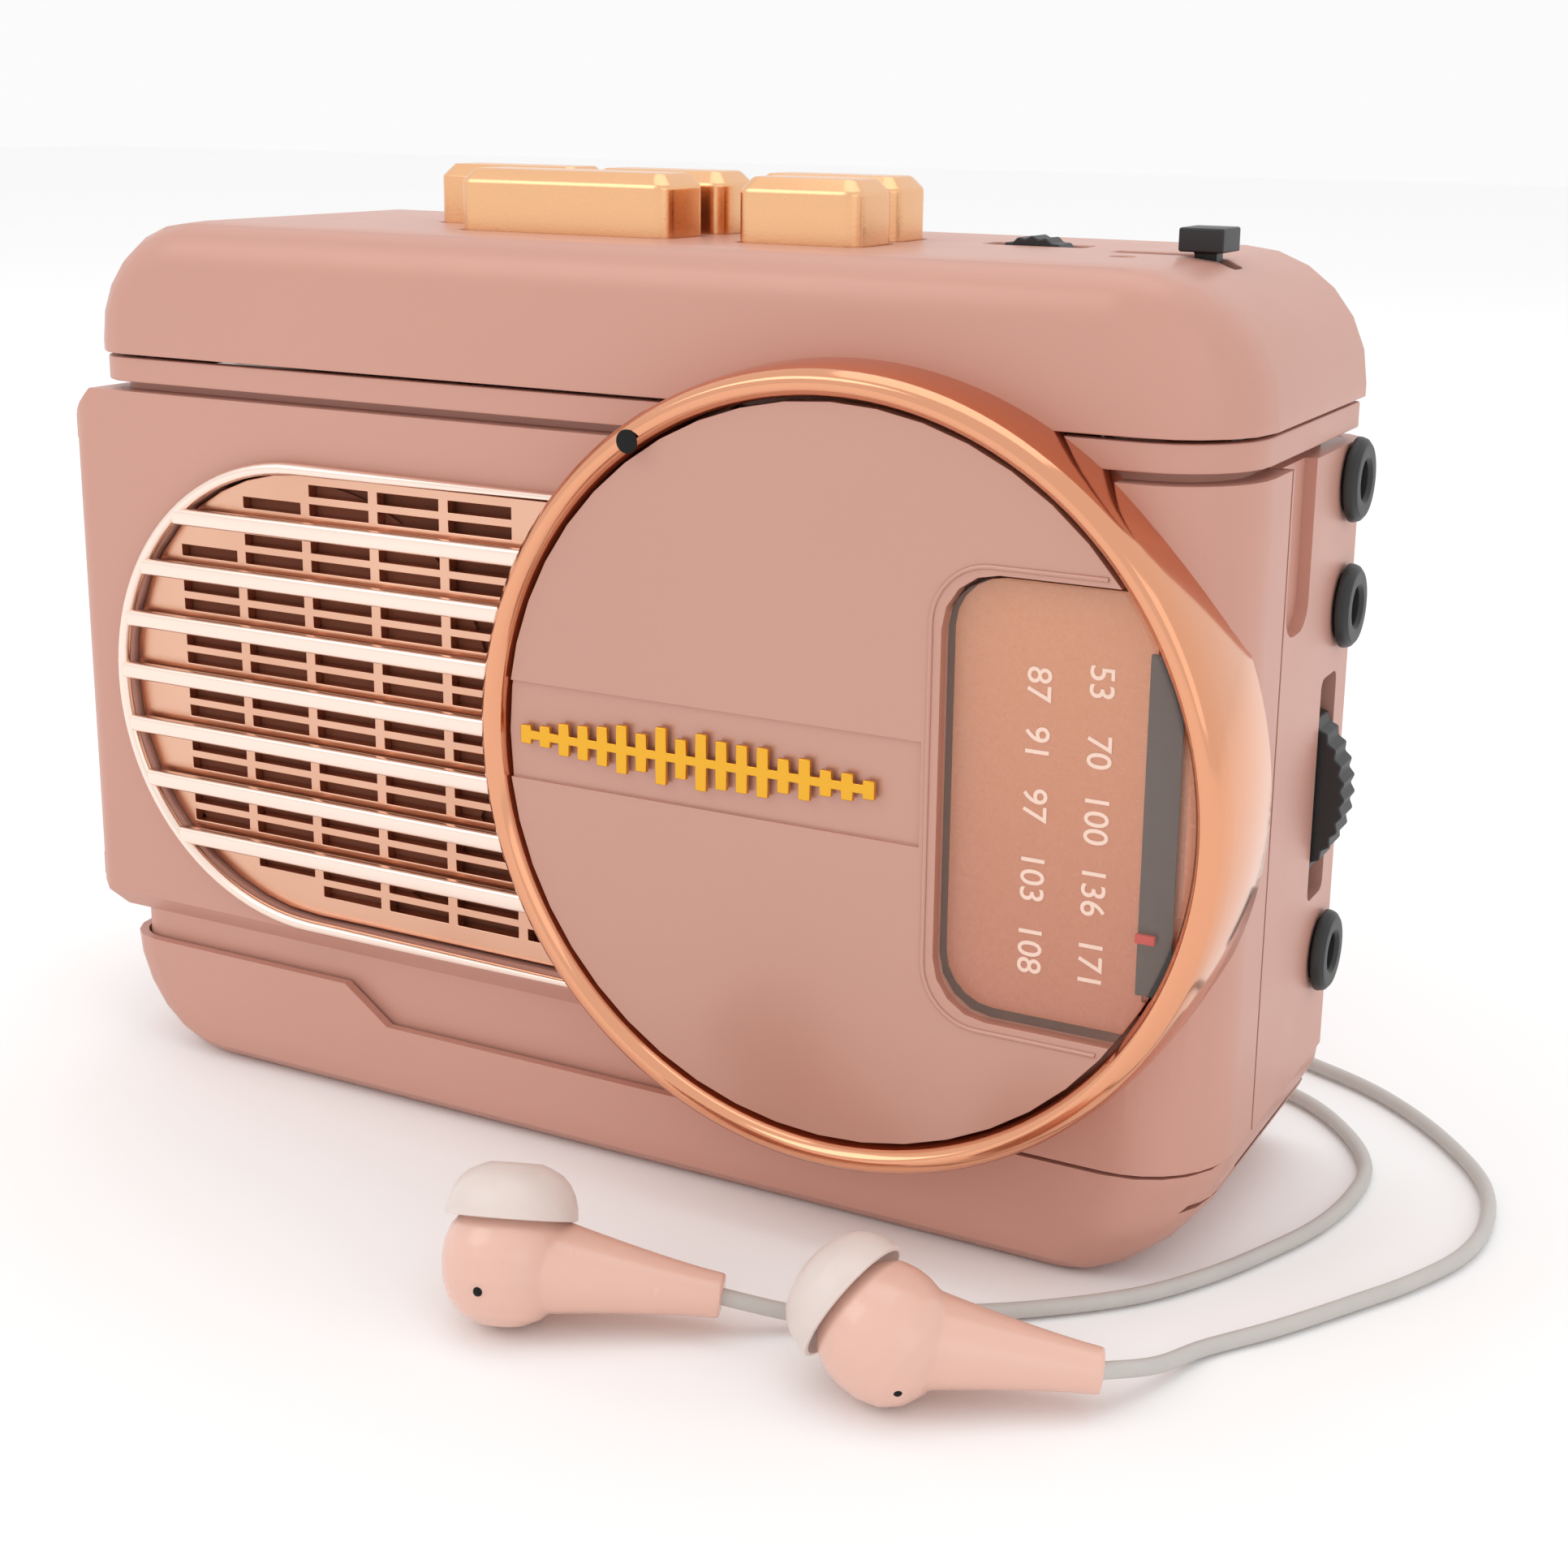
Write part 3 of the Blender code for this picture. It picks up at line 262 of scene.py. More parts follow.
RECIPES = {
    "shell": lambda: satin_plastic("rose_shell_plastic", tuple(settings().shell_colour), 0.38, 0.12, 0.22),
    "trim": lambda: plated("pale_rose_plating", (0.96, 0.78, 0.68), 0.26),
    "trim_deep": lambda: plated("deep_rose_plating", (0.86, 0.54, 0.40), 0.24, (0.62, 0.32, 0.21, 1.0)),
    "ring": lambda: plated("copper_plating", tuple(settings().ring_colour), 0.11),
    "disc": lambda: satin_plastic("rose_disc_plastic", (0.55, 0.285, 0.220), 0.30, 0.25, 0.08, 0.5),
    "key": lambda: plated("satin_copper_gold", tuple(settings().key_colour), 0.27, grain=0.35),
    "black": lambda: satin_plastic("black_moulding", (0.014, 0.014, 0.015), 0.45, 0.0, 0.4),
    "steel": lambda: brushed("bright_steel", (0.60, 0.60, 0.58), "X"),
    "brass": lambda: plated("turned_brass", (0.75, 0.55, 0.24), 0.22),
    "rubber": lambda: flexible("belt_rubber", (0.02, 0.02, 0.021), 0.6),
    "smoked": lambda: clear_plastic("smoked_window", (0.16, 0.11, 0.10), 0.45),
    "amber": lambda: clear_plastic("dial_lens_plastic", (0.95, 0.70, 0.58), 0.06),
    "print": lambda: dial_print("copper_dial_print", (0.62, 0.26, 0.13), (0.50, 0.16, 0.085),
                                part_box("dial_scale")[0].z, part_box("dial_scale")[1].z),
    "red": lambda: satin_plastic("pointer_red", (0.55, 0.02, 0.015), 0.35),
    "gold": lambda: plated("bright_gold", (0.84, 0.43, 0.045), 0.22),
    "board": lambda: satin_plastic("solder_mask", (0.03, 0.16, 0.07), 0.35, 0.0, 0.3, 0.3),
    "ferrite": lambda: satin_plastic("sintered_ferrite", (0.07, 0.065, 0.065), 0.6, 0.0, 0.8),
    "milky": lambda: satin_plastic("milky_plastic", (0.66, 0.64, 0.56), 0.35, 0.0, 0.1),
    "cone": lambda: flexible("pressed_paper", (0.045, 0.045, 0.045), 0.75),
    "peach": lambda: satin_plastic("peach_plastic", (0.76, 0.46, 0.37), 0.26, 0.0, 0.03, 0.45),
    "silicone": lambda: translucent_rubber("pale_silicone", (0.88, 0.78, 0.73)),
    "lead": lambda: flexible("grey_lead_jacket", (0.55, 0.52, 0.49), 0.42),
    "numerals": lambda: satin_plastic("pale_numerals", (0.93, 0.70, 0.58), 0.45),
    "socket": lambda: plated("socket_contact", (0.55, 0.53, 0.50), 0.25),
    # near-black: painted shade for the earbud vent holes, also used on the dark lamp lens
    "pinhole": lambda: flexible("pinhole_black", (0.003, 0.003, 0.003), 0.85),
    # dark copper sheet behind the grille slots: painted shade seen through them
    "backing": lambda: flexible("grille_backing_painted_shade", (0.20, 0.062, 0.030), 0.8),
    "dark": lambda: satin_plastic("charcoal_strip", (0.035, 0.036, 0.038), 0.4),
}


# ---------------------------------------------------------------- modelling helpers
def select_only(obj):
    if bpy.context.object and bpy.context.object.mode != "OBJECT":
        bpy.ops.object.mode_set(mode="OBJECT")
    bpy.ops.object.select_all(action="DESELECT")
    obj.hide_viewport = False
    obj.select_set(True)
    bpy.context.view_layer.objects.active = obj


def apply_modifier(obj, kind, **values):
    select_only(obj)
    modifier = obj.modifiers.new(kind.lower(), kind)
    for name, value in values.items():
        setattr(modifier, name, value)
    bpy.ops.object.modifier_apply(modifier=modifier.name)


def settle(obj):
    """Put a piece's place into its mesh and leave the object at the origin."""
    select_only(obj)
    bpy.ops.object.transform_apply(location=True, rotation=True, scale=True)


def complete(obj, name, body, slot_name, nodes=(), coat=None, angle=32.0):
    """Name a piece, smooth it, give it its finish and tie it to its body and CAD nodes."""
    settle(obj)
    if obj.type == "MESH":
        bpy.ops.object.shade_smooth_by_angle(angle=math.radians(angle))
    obj.name = name
    obj.data.materials.clear()
    obj.data.materials.append(finish(coat or slot_name))
    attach(obj, body)
    if nodes:
        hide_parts(*nodes)
    return obj


def body_of(node):
    return frame["nodes"][node]["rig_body"]


def refine(node, slot_name, bevel=0.2, angle=30.0, segments=2):
    """A welded copy of a CAD node with softened edges, in place of the node."""
    select_only(frame["nodes"][node])
    bpy.ops.object.duplicate()
    piece = bpy.context.object
    for key in [k for k in piece.keys() if k.startswith("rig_")]:
        del piece[key]
    piece.parent = None
    bpy.ops.object.mode_set(mode="EDIT")
    bpy.ops.mesh.select_all(action="SELECT")
    bpy.ops.mesh.remove_doubles(threshold=0.002 * MM)
    bpy.ops.mesh.dissolve_limited(angle_limit=math.radians(0.5))
    bpy.ops.object.mode_set(mode="OBJECT")
    if bevel:
        apply_modifier(piece, "BEVEL", width=bevel * MM, segments=segments, limit_method="ANGLE",
                       angle_limit=math.radians(angle), use_clamp_overlap=True, harden_normals=False)
    made = complete(piece, node + "_finished", body_of(node), slot_name, (node,), angle=angle)
    apply_modifier(made, "WEIGHTED_NORMAL", keep_sharp=True)
    return made


def spun(profile, centre, axis, steps, bevel=0.0):
    """Turn a closed (radius, height) profile in mm around an axis by edit-mode spin."""
    select_none()
    bpy.ops.mesh.primitive_plane_add(size=0.001)
    piece = bpy.context.object
    bpy.ops.object.mode_set(mode="EDIT")
    bm = bmesh.from_edit_mesh(piece.data)
    bmesh.ops.delete(bm, geom=bm.verts[:], context="VERTS")
    verts = [bm.verts.new((r * MM, 0.0, h * MM)) for r, h in profile]
    for first, second in zip(verts, verts[1:] + verts[:1]):
        if first.co.x > 1e-7 or second.co.x > 1e-7:
            bm.edges.new((first, second))
    bmesh.update_edit_mesh(piece.data)
    bpy.ops.mesh.select_all(action="SELECT")
    bpy.ops.mesh.spin(steps=steps, angle=math.tau, center=(0, 0, 0), axis=(0, 0, 1), use_auto_merge=True)
    bpy.ops.mesh.select_all(action="SELECT")
    bpy.ops.mesh.remove_doubles(threshold=1e-7)
    bpy.ops.mesh.normals_make_consistent(inside=False)
    bpy.ops.object.mode_set(mode="OBJECT")
    turn = {"X": (0, math.pi / 2, 0), "Y": (-math.pi / 2, 0, 0), "Z": (0, 0, 0)}[axis]
    piece.rotation_euler = turn
    piece.location = centre
    settle(piece)
    if bevel:
        apply_modifier(piece, "BEVEL", width=bevel * MM, segments=3, limit_method="ANGLE",
                       angle_limit=math.radians(28))
    return piece


def select_none():
    if bpy.context.object and bpy.context.object.mode != "OBJECT":
        bpy.ops.object.mode_set(mode="OBJECT")
    bpy.ops.object.select_all(action="DESELECT")


def block(low, high, bevel=0.0, segments=3):
    """A bevelled cuboid between two corners in metres."""
    select_none()
    bpy.ops.mesh.primitive_cube_add(size=1.0, location=(low + high) / 2)
    piece = bpy.context.object
    piece.scale = high - low
    settle(piece)
    if bevel:
        bpy.ops.object.mode_set(mode="EDIT")
        bpy.ops.mesh.select_all(action="SELECT")
        bpy.ops.mesh.bevel(offset=bevel * MM, segments=segments, affect="EDGES")
        bpy.ops.object.mode_set(mode="OBJECT")
    return piece


def joined(pieces):
    select_none()
    for piece in pieces:
        piece.select_set(True)
    bpy.context.view_layer.objects.active = pieces[0]
    bpy.ops.object.join()
    return bpy.context.object


def curve_along(name, points, radius, closed=False):
    """A round curve through points in metres."""
    select_none()
    bpy.ops.curve.primitive_nurbs_path_add(location=(0, 0, 0))
    piece = bpy.context.object
    piece.name = name
    piece.data.splines.clear()
    spline = piece.data.splines.new("POLY")
    spline.points.add(len(points) - 1)
    for slot, point in zip(spline.points, points):
        slot.co = (*point, 1.0)
    spline.use_cyclic_u = closed
    piece.data.dimensions = "3D"
    piece.data.bevel_depth = radius
    piece.data.bevel_resolution = 4
    piece.data.use_fill_caps = not closed
    return piece


def rounded_line(name, points, radius, closed=False):
    """A round bar along points in metres, as a mesh."""
    curve_along(name, points, radius, closed)
    bpy.ops.object.convert(target="MESH")
    return bpy.context.object


def ring_arc(cx, cz, r, start, end, steps):
    turns = [math.radians(start + (end - start) * i / steps) for i in range(steps + 1)]
    return [(cx + r * math.cos(t), cz + r * math.sin(t)) for t in turns]


# ---------------------------------------------------------------- settings
class PlayerSettings(bpy.types.PropertyGroup):
    shell_colour: bpy.props.FloatVectorProperty(
        name="Shell colour", description="Colour of the moulded housing", subtype="COLOR",
        default=(0.580, 0.298, 0.234), min=0.0, max=1.0)
    ring_colour: bpy.props.FloatVectorProperty(
        name="Ring colour", description="Colour of the plated dial ring", subtype="COLOR",
        default=(0.79, 0.37, 0.215), min=0.0, max=1.0)
    key_colour: bpy.props.FloatVectorProperty(
        name="Key colour", description="Colour of the plated keys", subtype="COLOR",
        default=(0.90, 0.51, 0.27), min=0.0, max=1.0)
    edge_softness: bpy.props.FloatProperty(
        name="Edge softness", description="Width of the rounding on moulded edges, in millimetres",
        default=0.22, min=0.0, max=0.6)
    numeral_height: bpy.props.FloatProperty(
        name="Numeral height", description="Height of the numbers on the dial", unit="LENGTH",
        default=0.0024, min=0.001, max=0.006)


def settings():
    return bpy.context.scene.cassette_player


# ---------------------------------------------------------------- pieces
class PLAYER_OT_housing(bpy.types.Operator):
    """Shells, cap, base, both doors and the window"""
    bl_idname = "player.housing"
    bl_label = "Housing"

    def execute(self, context):
        soft = settings().edge_softness
        for node in ("front_panel", "rear_shell", "top_cap", "cap_band", "base_shell", "battery_door",
                     "cassette_door"):
            refine(node, "shell", soft, 28.0)
        refine("door_window", "smoked", 0.12)
        return {"FINISHED"}


class PLAYER_OT_grille(bpy.types.Operator):
    """Speaker grille: rim, seven bars and the slotted lattice behind them"""
    bl_idname = "player.grille"
    bl_label = "Grille"

    def execute(self, context):
        low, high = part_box("grille_frame")
        ring = middle("dial_ring")
        radius = (high.z - low.z) / 2
        cx, cz, y = low.x + radius, (low.z + high.z) / 2, (low.y + high.y) / 2
        reach = size_of("dial_ring").x / 2 + 0.6 * MM
        rim_r = radius - 0.62 * MM
        rise = math.degrees(math.asin((rim_r + cz - ring.z) / reach))
        fall = math.degrees(math.asin((rim_r - cz + ring.z) / reach))
        line = ring_arc(cx, cz, rim_r, 90, 270, 48)
        line += ring_arc(ring.x, ring.z, reach, 180 + fall, 180 - rise, 36)
        rim = rounded_line("rim", [(x, y, z) for x, z in line], 0.62 * MM, True)
        bars = []
        for i in range(7):
            z = GRILLE_Z * MM + BAR_PITCH * MM * (i - 3)
            half = math.sqrt((radius - 0.7 * MM) ** 2 - (z - cz) ** 2)
            right = ring.x - math.sqrt(reach ** 2 - (z - ring.z) ** 2)
            low_corner = Vector((cx - half, y - 0.62 * MM, z - 0.86 * MM))
            bars.append(block(low_corner, Vector((right, y + 0.62 * MM, z + 0.86 * MM)), 0.42, 4))
        complete(joined([rim] + bars), "grille_bars", "player", "trim", ("grille_frame",), angle=60)
        refine("grille_lattice", "trim_deep", 0.14, 40.0)
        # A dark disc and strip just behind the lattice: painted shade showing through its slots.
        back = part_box("grille_lattice")[1].y
        select_none()
        bpy.ops.mesh.primitive_cylinder_add(vertices=96, radius=radius - 2.4 * MM, depth=0.3 * MM,
                                            location=(cx, back + 0.2 * MM, cz), rotation=(math.pi / 2, 0, 0))
        painted_shade_disc = bpy.context.object
        half = radius - 2.4 * MM
        right = ring.x - math.sqrt(reach ** 2 - (half + abs(cz - ring.z)) ** 2)
        strip = block(Vector((cx, back + 0.45 * MM, cz - half)), Vector((right, back + 0.75 * MM, cz + half)))
        complete(joined([painted_shade_disc, strip]), "grille_backing", "player", "trim_deep", coat="backing")
        return {"FINISHED"}


class PLAYER_OT_dial(bpy.types.Operator):
    """Dial ring, disc with its band and window, lens, scale with numbers, pointer and ornament"""
    bl_idname = "player.dial"
    bl_label = "Dial"

    def execute(self, context):
        centre = middle("dial_ring")
        low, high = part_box("dial_ring")
        outer, y = (high.x - low.x) / 2 / MM, low.y
        inner = size_of("dial_disc").z / 2 / MM + 0.35
        depth = (high.y - low.y) / MM
        lip = [(inner, depth), (inner, 1.2), (inner + 0.25, 0.55), (inner + 0.7, 0.12), (inner + 1.2, 0.0),
               (outer - 1.1, 0.12), (outer - 0.62, 0.55), (outer - 0.38, 1.1), (outer - 0.12, 3.0),
               (outer, 5.2), (outer, depth)]
        ring = spun(lip, Vector((centre.x, y, centre.z)), "Y", 160, 0.12)
        lamp = middle("power_lamp")
        complete(ring, "dial_ring_plated", "player", "ring", ("dial_ring",), angle=40)
        eye = spun([(0, 0.02), (0.95, 0.02), (1.05, -0.02), (1.05, -0.08), (0.8, -0.1), (0, -0.1)],
                   Vector((lamp.x, y, lamp.z)), "Y", 32)
        complete(eye, "power_lamp_lens", "player", "black", ("power_lamp",), "pinhole")
        refine("dial_disc", "disc", 0.18, 30.0, 3)
        refine("dial_lens", "amber", 0.1)
        refine("dial_scale", "print", 0.06)
        refine("tuning_pointer", "red", 0.08)
        refine("emblem", "gold", 0.1)
        self.window_frame()
        self.numbers()
        return {"FINISHED"}

    def window_frame(self):
        """Raised bead around the window and the dark strip beside the scale."""
        disc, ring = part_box("dial_disc"), middle("dial_ring")
        y, r = disc[0].y - 0.02 * MM, (disc[1].z - disc[0].z) / 2 - 0.5 * MM
        left, low, high, corner = 36.1 * MM + CENTRE.x, 24.0 * MM, 64.0 * MM, 5.2 * MM
        end_low = ring.x + math.sqrt(r ** 2 - (low - ring.z) ** 2)
        end_high = ring.x + math.sqrt(r ** 2 - (high - ring.z) ** 2)
        line = [(end_high, high)] + ring_arc(left + corner, high - corner, corner, 90, 180, 10)
        line += ring_arc(left + corner, low + corner, corner, 180, 270, 10) + [(end_low, low)]
        bead = rounded_line("bead", [(x, y, z) for x, z in line], 0.22 * MM)
        complete(bead, "window_bead", "player", "disc")
        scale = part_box("dial_scale")
        strip = block(Vector((scale[1].x - 4.6 * MM, scale[0].y - 0.18 * MM, 29.2 * MM)),
                      Vector((scale[1].x - 1.6 * MM, scale[0].y - 0.02 * MM, 58.0 * MM)), 0.06, 1)
        complete(strip, "scale_strip", "player", "print", coat="dark")

    def numbers(self):
        """Two columns of figures, read with the player lying on its side."""
        columns = ((44.9, ("87", 54.3), ("91", 49.3), ("97", 44.0), ("103", 37.7), ("108", 31.4)),
                   (50.3, ("53", 55.1), ("70", 49.3), ("100", 43.6), ("136", 37.4), ("171", 31.1)))
        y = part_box("dial_scale")[0].y
        pieces = []
        for x, *figures in columns:
            for figure, z in figures:
                select_none()
                bpy.ops.object.text_add()
                text = bpy.context.object
                text.data.body = figure
                text.data.size = settings().numeral_height * 1.25
                text.data.align_x = text.data.align_y = "CENTER"
                text.data.extrude = 0.03 * MM
                text.data.offset = 0.02 * MM
                bpy.ops.object.convert(target="MESH")
                glyph = bpy.context.object
                glyph.matrix_world = (Matrix.Translation((x * MM + CENTRE.x, y - 0.04 * MM, z * MM))
                                      @ Matrix.Rotation(math.radians(90), 4, "X")
                                      @ Matrix.Rotation(math.radians(-90), 4, "Z"))
                settle(glyph)
                pieces.append(glyph)
        complete(joined(pieces), "dial_numbers", "player", "print", coat="numerals")


class PLAYER_OT_keys(bpy.types.Operator):
    """Five plated keys"""
    bl_idname = "player.keys"
    bl_label = "Keys"

    def execute(self, context):
        for node in ("play_key", "eject_key", "record_key", "rewind_key", "forward_key"):
            refine(node, "key", 0.3, 22.0, 3)
        return {"FINISHED"}


class PLAYER_OT_controls(bpy.types.Operator):
    """Wheels, switch, microphone and jacks"""
    bl_idname = "player.controls"
    bl_label = "Controls"

    def execute(self, context):
        refine("tuning_wheel", "black", 0.12, 20.0, 1)
        refine("volume_wheel", "black", 0.12, 20.0, 1)
        refine("band_switch", "black", 0.2)
        refine("microphone", "black", 0.08)
        for name in ("phones", "line_out", "mic"):
            self.jack("jack_" + name)
        return {"FINISHED"}

    def jack(self, node):
        low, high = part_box(node)
        out = (high.x - low.x) / MM
        profile = [(1.8, 0.8), (1.8, out - 0.35), (2.15, out), (3.3, out), (3.75, out - 0.35),
                   (3.9, out - 0.8), (3.9, out - 1.15), (2.9, out - 1.15), (2.9, 0), (0, 0), (0, 0.8)]
        at = Vector((low.x, (low.y + high.y) / 2, (low.z + high.z) / 2))
        complete(spun(profile, at, "X", 48, 0.08), node + "_collar", "player", "black", (node,))
        sleeve = [(1.5, 1.0), (1.72, 1.0), (1.72, out - 1.6), (1.5, out - 1.6)]
        complete(spun(sleeve, at, "X", 32), node + "_contact", "player", "steel", coat="socket")


class PLAYER_OT_deck(bpy.types.Operator):
    """Tape deck, battery bay and electronics inside the housing"""
    bl_idname = "player.deck"
    bl_label = "Deck and inside"

    def execute(self, context):
        inside = {
            "steel": ("battery_spring", "hinge_pin", "deck_plate", "flywheel", "motor", "drive_bridge",
                      "head_plate", "playback_head", "volume_control"),
            "black": ("battery_tray", "supply_spindle", "takeup_spindle", "erase_head", "speaker_basket"),
            "brass": ("motor_pulley",), "rubber": ("drive_belt", "pinch_roller"),
            "board": ("circuit_board",), "ferrite": ("antenna_rod",), "milky": ("tuning_capacitor",),
            "cone": ("speaker_cone",)}
        for slot_name, nodes in inside.items():
            for node in nodes:
                refine(node, slot_name, 0.0 if node in ("battery_spring", "drive_belt") else 0.08, 35.0, 1)
        return {"FINISHED"}


BUDS = {
    "left": ((9.6, -28.7, 5.8), (-0.15, 0.42, 0.90), (26.5, -22.0, 3.6), (0.16, -0.99, -0.03)),
    "right": ((42.3, -23.9, 5.8), (-0.88, 0.12, 0.46), (58.3, -17.6, 3.6), (0.56, -0.72, -0.41)),
}


class PLAYER_OT_earphones(bpy.types.Operator):
    """Two moulded buds with their silicone tips"""
    bl_idname = "player.earphones"
    bl_label = "Earphones"

    def execute(self, context):
        for name, (body, tip, stem, hole) in BUDS.items():
            out = Vector(tip).normalized()
            along = Vector(stem) - Vector(body)
            length = along.length
            flat = (along - out * along.dot(out)).normalized()
            turn = Matrix((flat, out.cross(flat), out)).transposed().to_4x4()
            pose = Matrix.Translation(place(*body)) @ turn
            shell = spun([(0, -5.6), (1.8, -5.4), (3.4, -4.7), (4.6, -3.5), (5.3, -1.8), (5.5, 0), (5.4, 1.2),
                          (5.0, 2.5), (4.2, 3.5), (3.2, 4.1), (2.0, 4.5), (2.0, 7.3), (0, 7.3)],
                         Vector((0, 0, 0)), "Z", 48)
            shell.matrix_world = pose
            settle(shell)
            neck = self.stem(place(*body), place(*stem), length)
            apply_modifier(shell, "BOOLEAN", operation="UNION", solver="EXACT", object=neck)
            bpy.data.objects.remove(neck)
            apply_modifier(shell, "REMESH", mode="VOXEL", voxel_size=0.16 * MM)
            apply_modifier(shell, "SMOOTH", factor=0.5, iterations=14)
            complete(shell, "earbud_%s_moulded" % name, "player", "peach", ("earbud_" + name,), angle=80)
            cap = spun([(2.1, 4.6), (2.1, 7.2), (1.5, 7.3), (1.2, 7.7), (2.2, 7.8), (3.0, 7.5), (4.0, 7.0),
                        (4.7, 6.3), (5.2, 5.4), (5.5, 4.4), (5.6, 3.4), (5.25, 3.3), (4.9, 4.6), (4.1, 5.8),
                        (3.2, 6.3), (2.9, 4.6)], Vector((0, 0, 0)), "Z", 48, 0.06)
            cap.matrix_world = pose
            complete(cap, "ear_tip_%s_soft" % name, "player", "silicone", ("ear_tip_" + name,), angle=60)
            # A near-black dot on the surface: painted shade of the vent hole.
            select_none()
            bpy.ops.mesh.primitive_uv_sphere_add(segments=24, ring_count=12, radius=0.42 * MM,
                                                 location=place(*body) + Vector(hole).normalized() * 5.5 * MM)
            complete(bpy.context.object, "earbud_%s_port" % name, "player", "peach", coat="pinhole")
        return {"FINISHED"}

    def stem(self, start, end, length):
        """Round stem that narrows towards the lead."""
        select_none()
        bpy.ops.mesh.primitive_cylinder_add(vertices=40, radius=1.0, depth=1.0)
        piece = bpy.context.object
        bpy.ops.object.mode_set(mode="EDIT")
        bpy.ops.mesh.select_all(action="SELECT")
        bpy.ops.mesh.subdivide(number_cuts=8)
        bm = bmesh.from_edit_mesh(piece.data)
        for vert in bm.verts:
            t = vert.co.z + 0.5
            radius = (1.95 + 3.0 * (1 - t) ** 1.3) * MM
            vert.co = Vector((vert.co.x * radius, vert.co.y * radius * 0.92, t * length * MM))
        bmesh.update_edit_mesh(piece.data)
        bpy.ops.object.mode_set(mode="OBJECT")
        piece.rotation_euler = (end - start).to_track_quat("Z", "Y").to_euler()
        piece.location = start
        settle(piece)
        return piece


FLOOR_LEAD = LEAD / 2 + 0.15
LEFT_LEAD = [(26.0, -22.2, 3.65), (31.0, -19.0, 1.9), (35.5, -16.0, FLOOR_LEAD), (40.2, -12.4, FLOOR_LEAD),
             (48.0, -7.0, FLOOR_LEAD), (55.1, -0.5, FLOOR_LEAD), (59.3, 5.6, FLOOR_LEAD),
             (62.4, 11.8, FLOOR_LEAD), (65.3, 19.2, FLOOR_LEAD), (66.6, 26.5, FLOOR_LEAD),
             (66.2, 33.5, FLOOR_LEAD), (62.5, 40.2, FLOOR_LEAD), (56.0, 46.0, FLOOR_LEAD),
             (44.0, 49.5, FLOOR_LEAD), (30.0, 50.0, FLOOR_LEAD), (12.0, 46.5, FLOOR_LEAD),
             (-6.0, 48.5, FLOOR_LEAD), (-16.0, 53.5, FLOOR_LEAD), (-23.6, 57.4, 1.2)]
RIGHT_LEAD = [(57.9, -17.9, 3.65), (60.8, -12.0, 1.9), (62.8, -6.0, FLOOR_LEAD), (67.1, -0.1, FLOOR_LEAD),
              (72.0, 7.6, FLOOR_LEAD), (75.4, 13.4, FLOOR_LEAD), (78.3, 20.5, FLOOR_LEAD),
              (78.9, 27.0, FLOOR_LEAD), (77.2, 35.0, FLOOR_LEAD), (71.5, 43.4, FLOOR_LEAD),
              (63.7, 50.5, FLOOR_LEAD), (56.0, 54.5, FLOOR_LEAD), (36.0, 61.5, FLOOR_LEAD),
              (18.0, 59.5, FLOOR_LEAD), (2.0, 56.5, FLOOR_LEAD), (-12.0, 58.0, FLOOR_LEAD),
              (-23.6, 59.6, 1.2)]
MAIN_ROUTE = [(-34.0, 60.5, 1.5), (-38.2, 62.0, 1.1), (-40.6, 66.5, 1.1), (-40.0, 72.0, 1.1),
              (-37.9, 77.2, 1.1), (-36.5, 81.0, 1.2)]
COIL = (-22.0, 84.0)
COIL_ROWS, COIL_LAYERS = (14.1, 12.07, 10.04), 4
PLUG_TURN = math.radians(-24)


def length_of(points):
    return sum((b - a).length for a, b in zip(points, points[1:]))


def smooth_route(route):
    """Centripetal Catmull-Rom through the route's points, in metres."""
    pts = [place(*p) for p in route]
    pts = [2 * pts[0] - pts[1]] + pts + [2 * pts[-1] - pts[-2]]
    dense = []
    for p0, p1, p2, p3 in zip(pts, pts[1:], pts[2:], pts[3:]):
        t1 = (p1 - p0).length ** 0.5
        t2 = t1 + (p2 - p1).length ** 0.5
        t3 = t2 + (p3 - p2).length ** 0.5
        for k in range(8):
            t = t1 + (t2 - t1) * k / 8
            a1, a2 = p0.lerp(p1, t / t1), p1.lerp(p2, (t - t1) / (t2 - t1))
            a3 = p2.lerp(p3, (t - t2) / (t3 - t2))
            b1, b2 = a1.lerp(a2, t / t2), a2.lerp(a3, (t - t1) / (t3 - t1))
            dense.append(b1.lerp(b2, (t - t1) / (t2 - t1)))
    return dense + [pts[-2]]


def coil_route():
    """Turns laid in rows inwards and outwards, layer on layer, ending towards the plug."""
    start, end = 180.0, 66.0
    turns = len(COIL_ROWS) * COIL_LAYERS - 1
    total = turns * 360.0 + (start - end)
    points, steps = [], turns * 36
    for i in range(steps + 1):
        angle = math.radians(start - total * i / steps)
        at = min(i / 36.0 * total / (turns * 360.0), turns)
        row, part = int(min(at, turns - 1e-6)), at - int(min(at, turns - 1e-6))
        slots = [(r, layer) for layer in range(COIL_LAYERS)
                 for r in (COIL_ROWS if layer % 2 == 0 else COIL_ROWS[::-1])]
        ease = max(0.0, min(1.0, (part - 0.8) / 0.2))
        (r0, l0), (r1, l1) = slots[row], slots[min(row + 1, len(slots) - 1)]
        radius, layer = r0 + (r1 - r0) * ease, l0 + (l1 - l0) * ease
        points.append(place(COIL[0] + radius * math.cos(angle), COIL[1] + radius * math.sin(angle),
                            1.3 + 2.03 * layer))
    return points


def cord_curve(name, points, diameter):
    """A cord of the given diameter in mm, kept as a curve."""
    piece = curve_along(name, points, diameter * MM / 2)
    piece.data.materials.clear()
    piece.data.materials.append(finish("lead"))
    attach(piece, "player")
    return piece


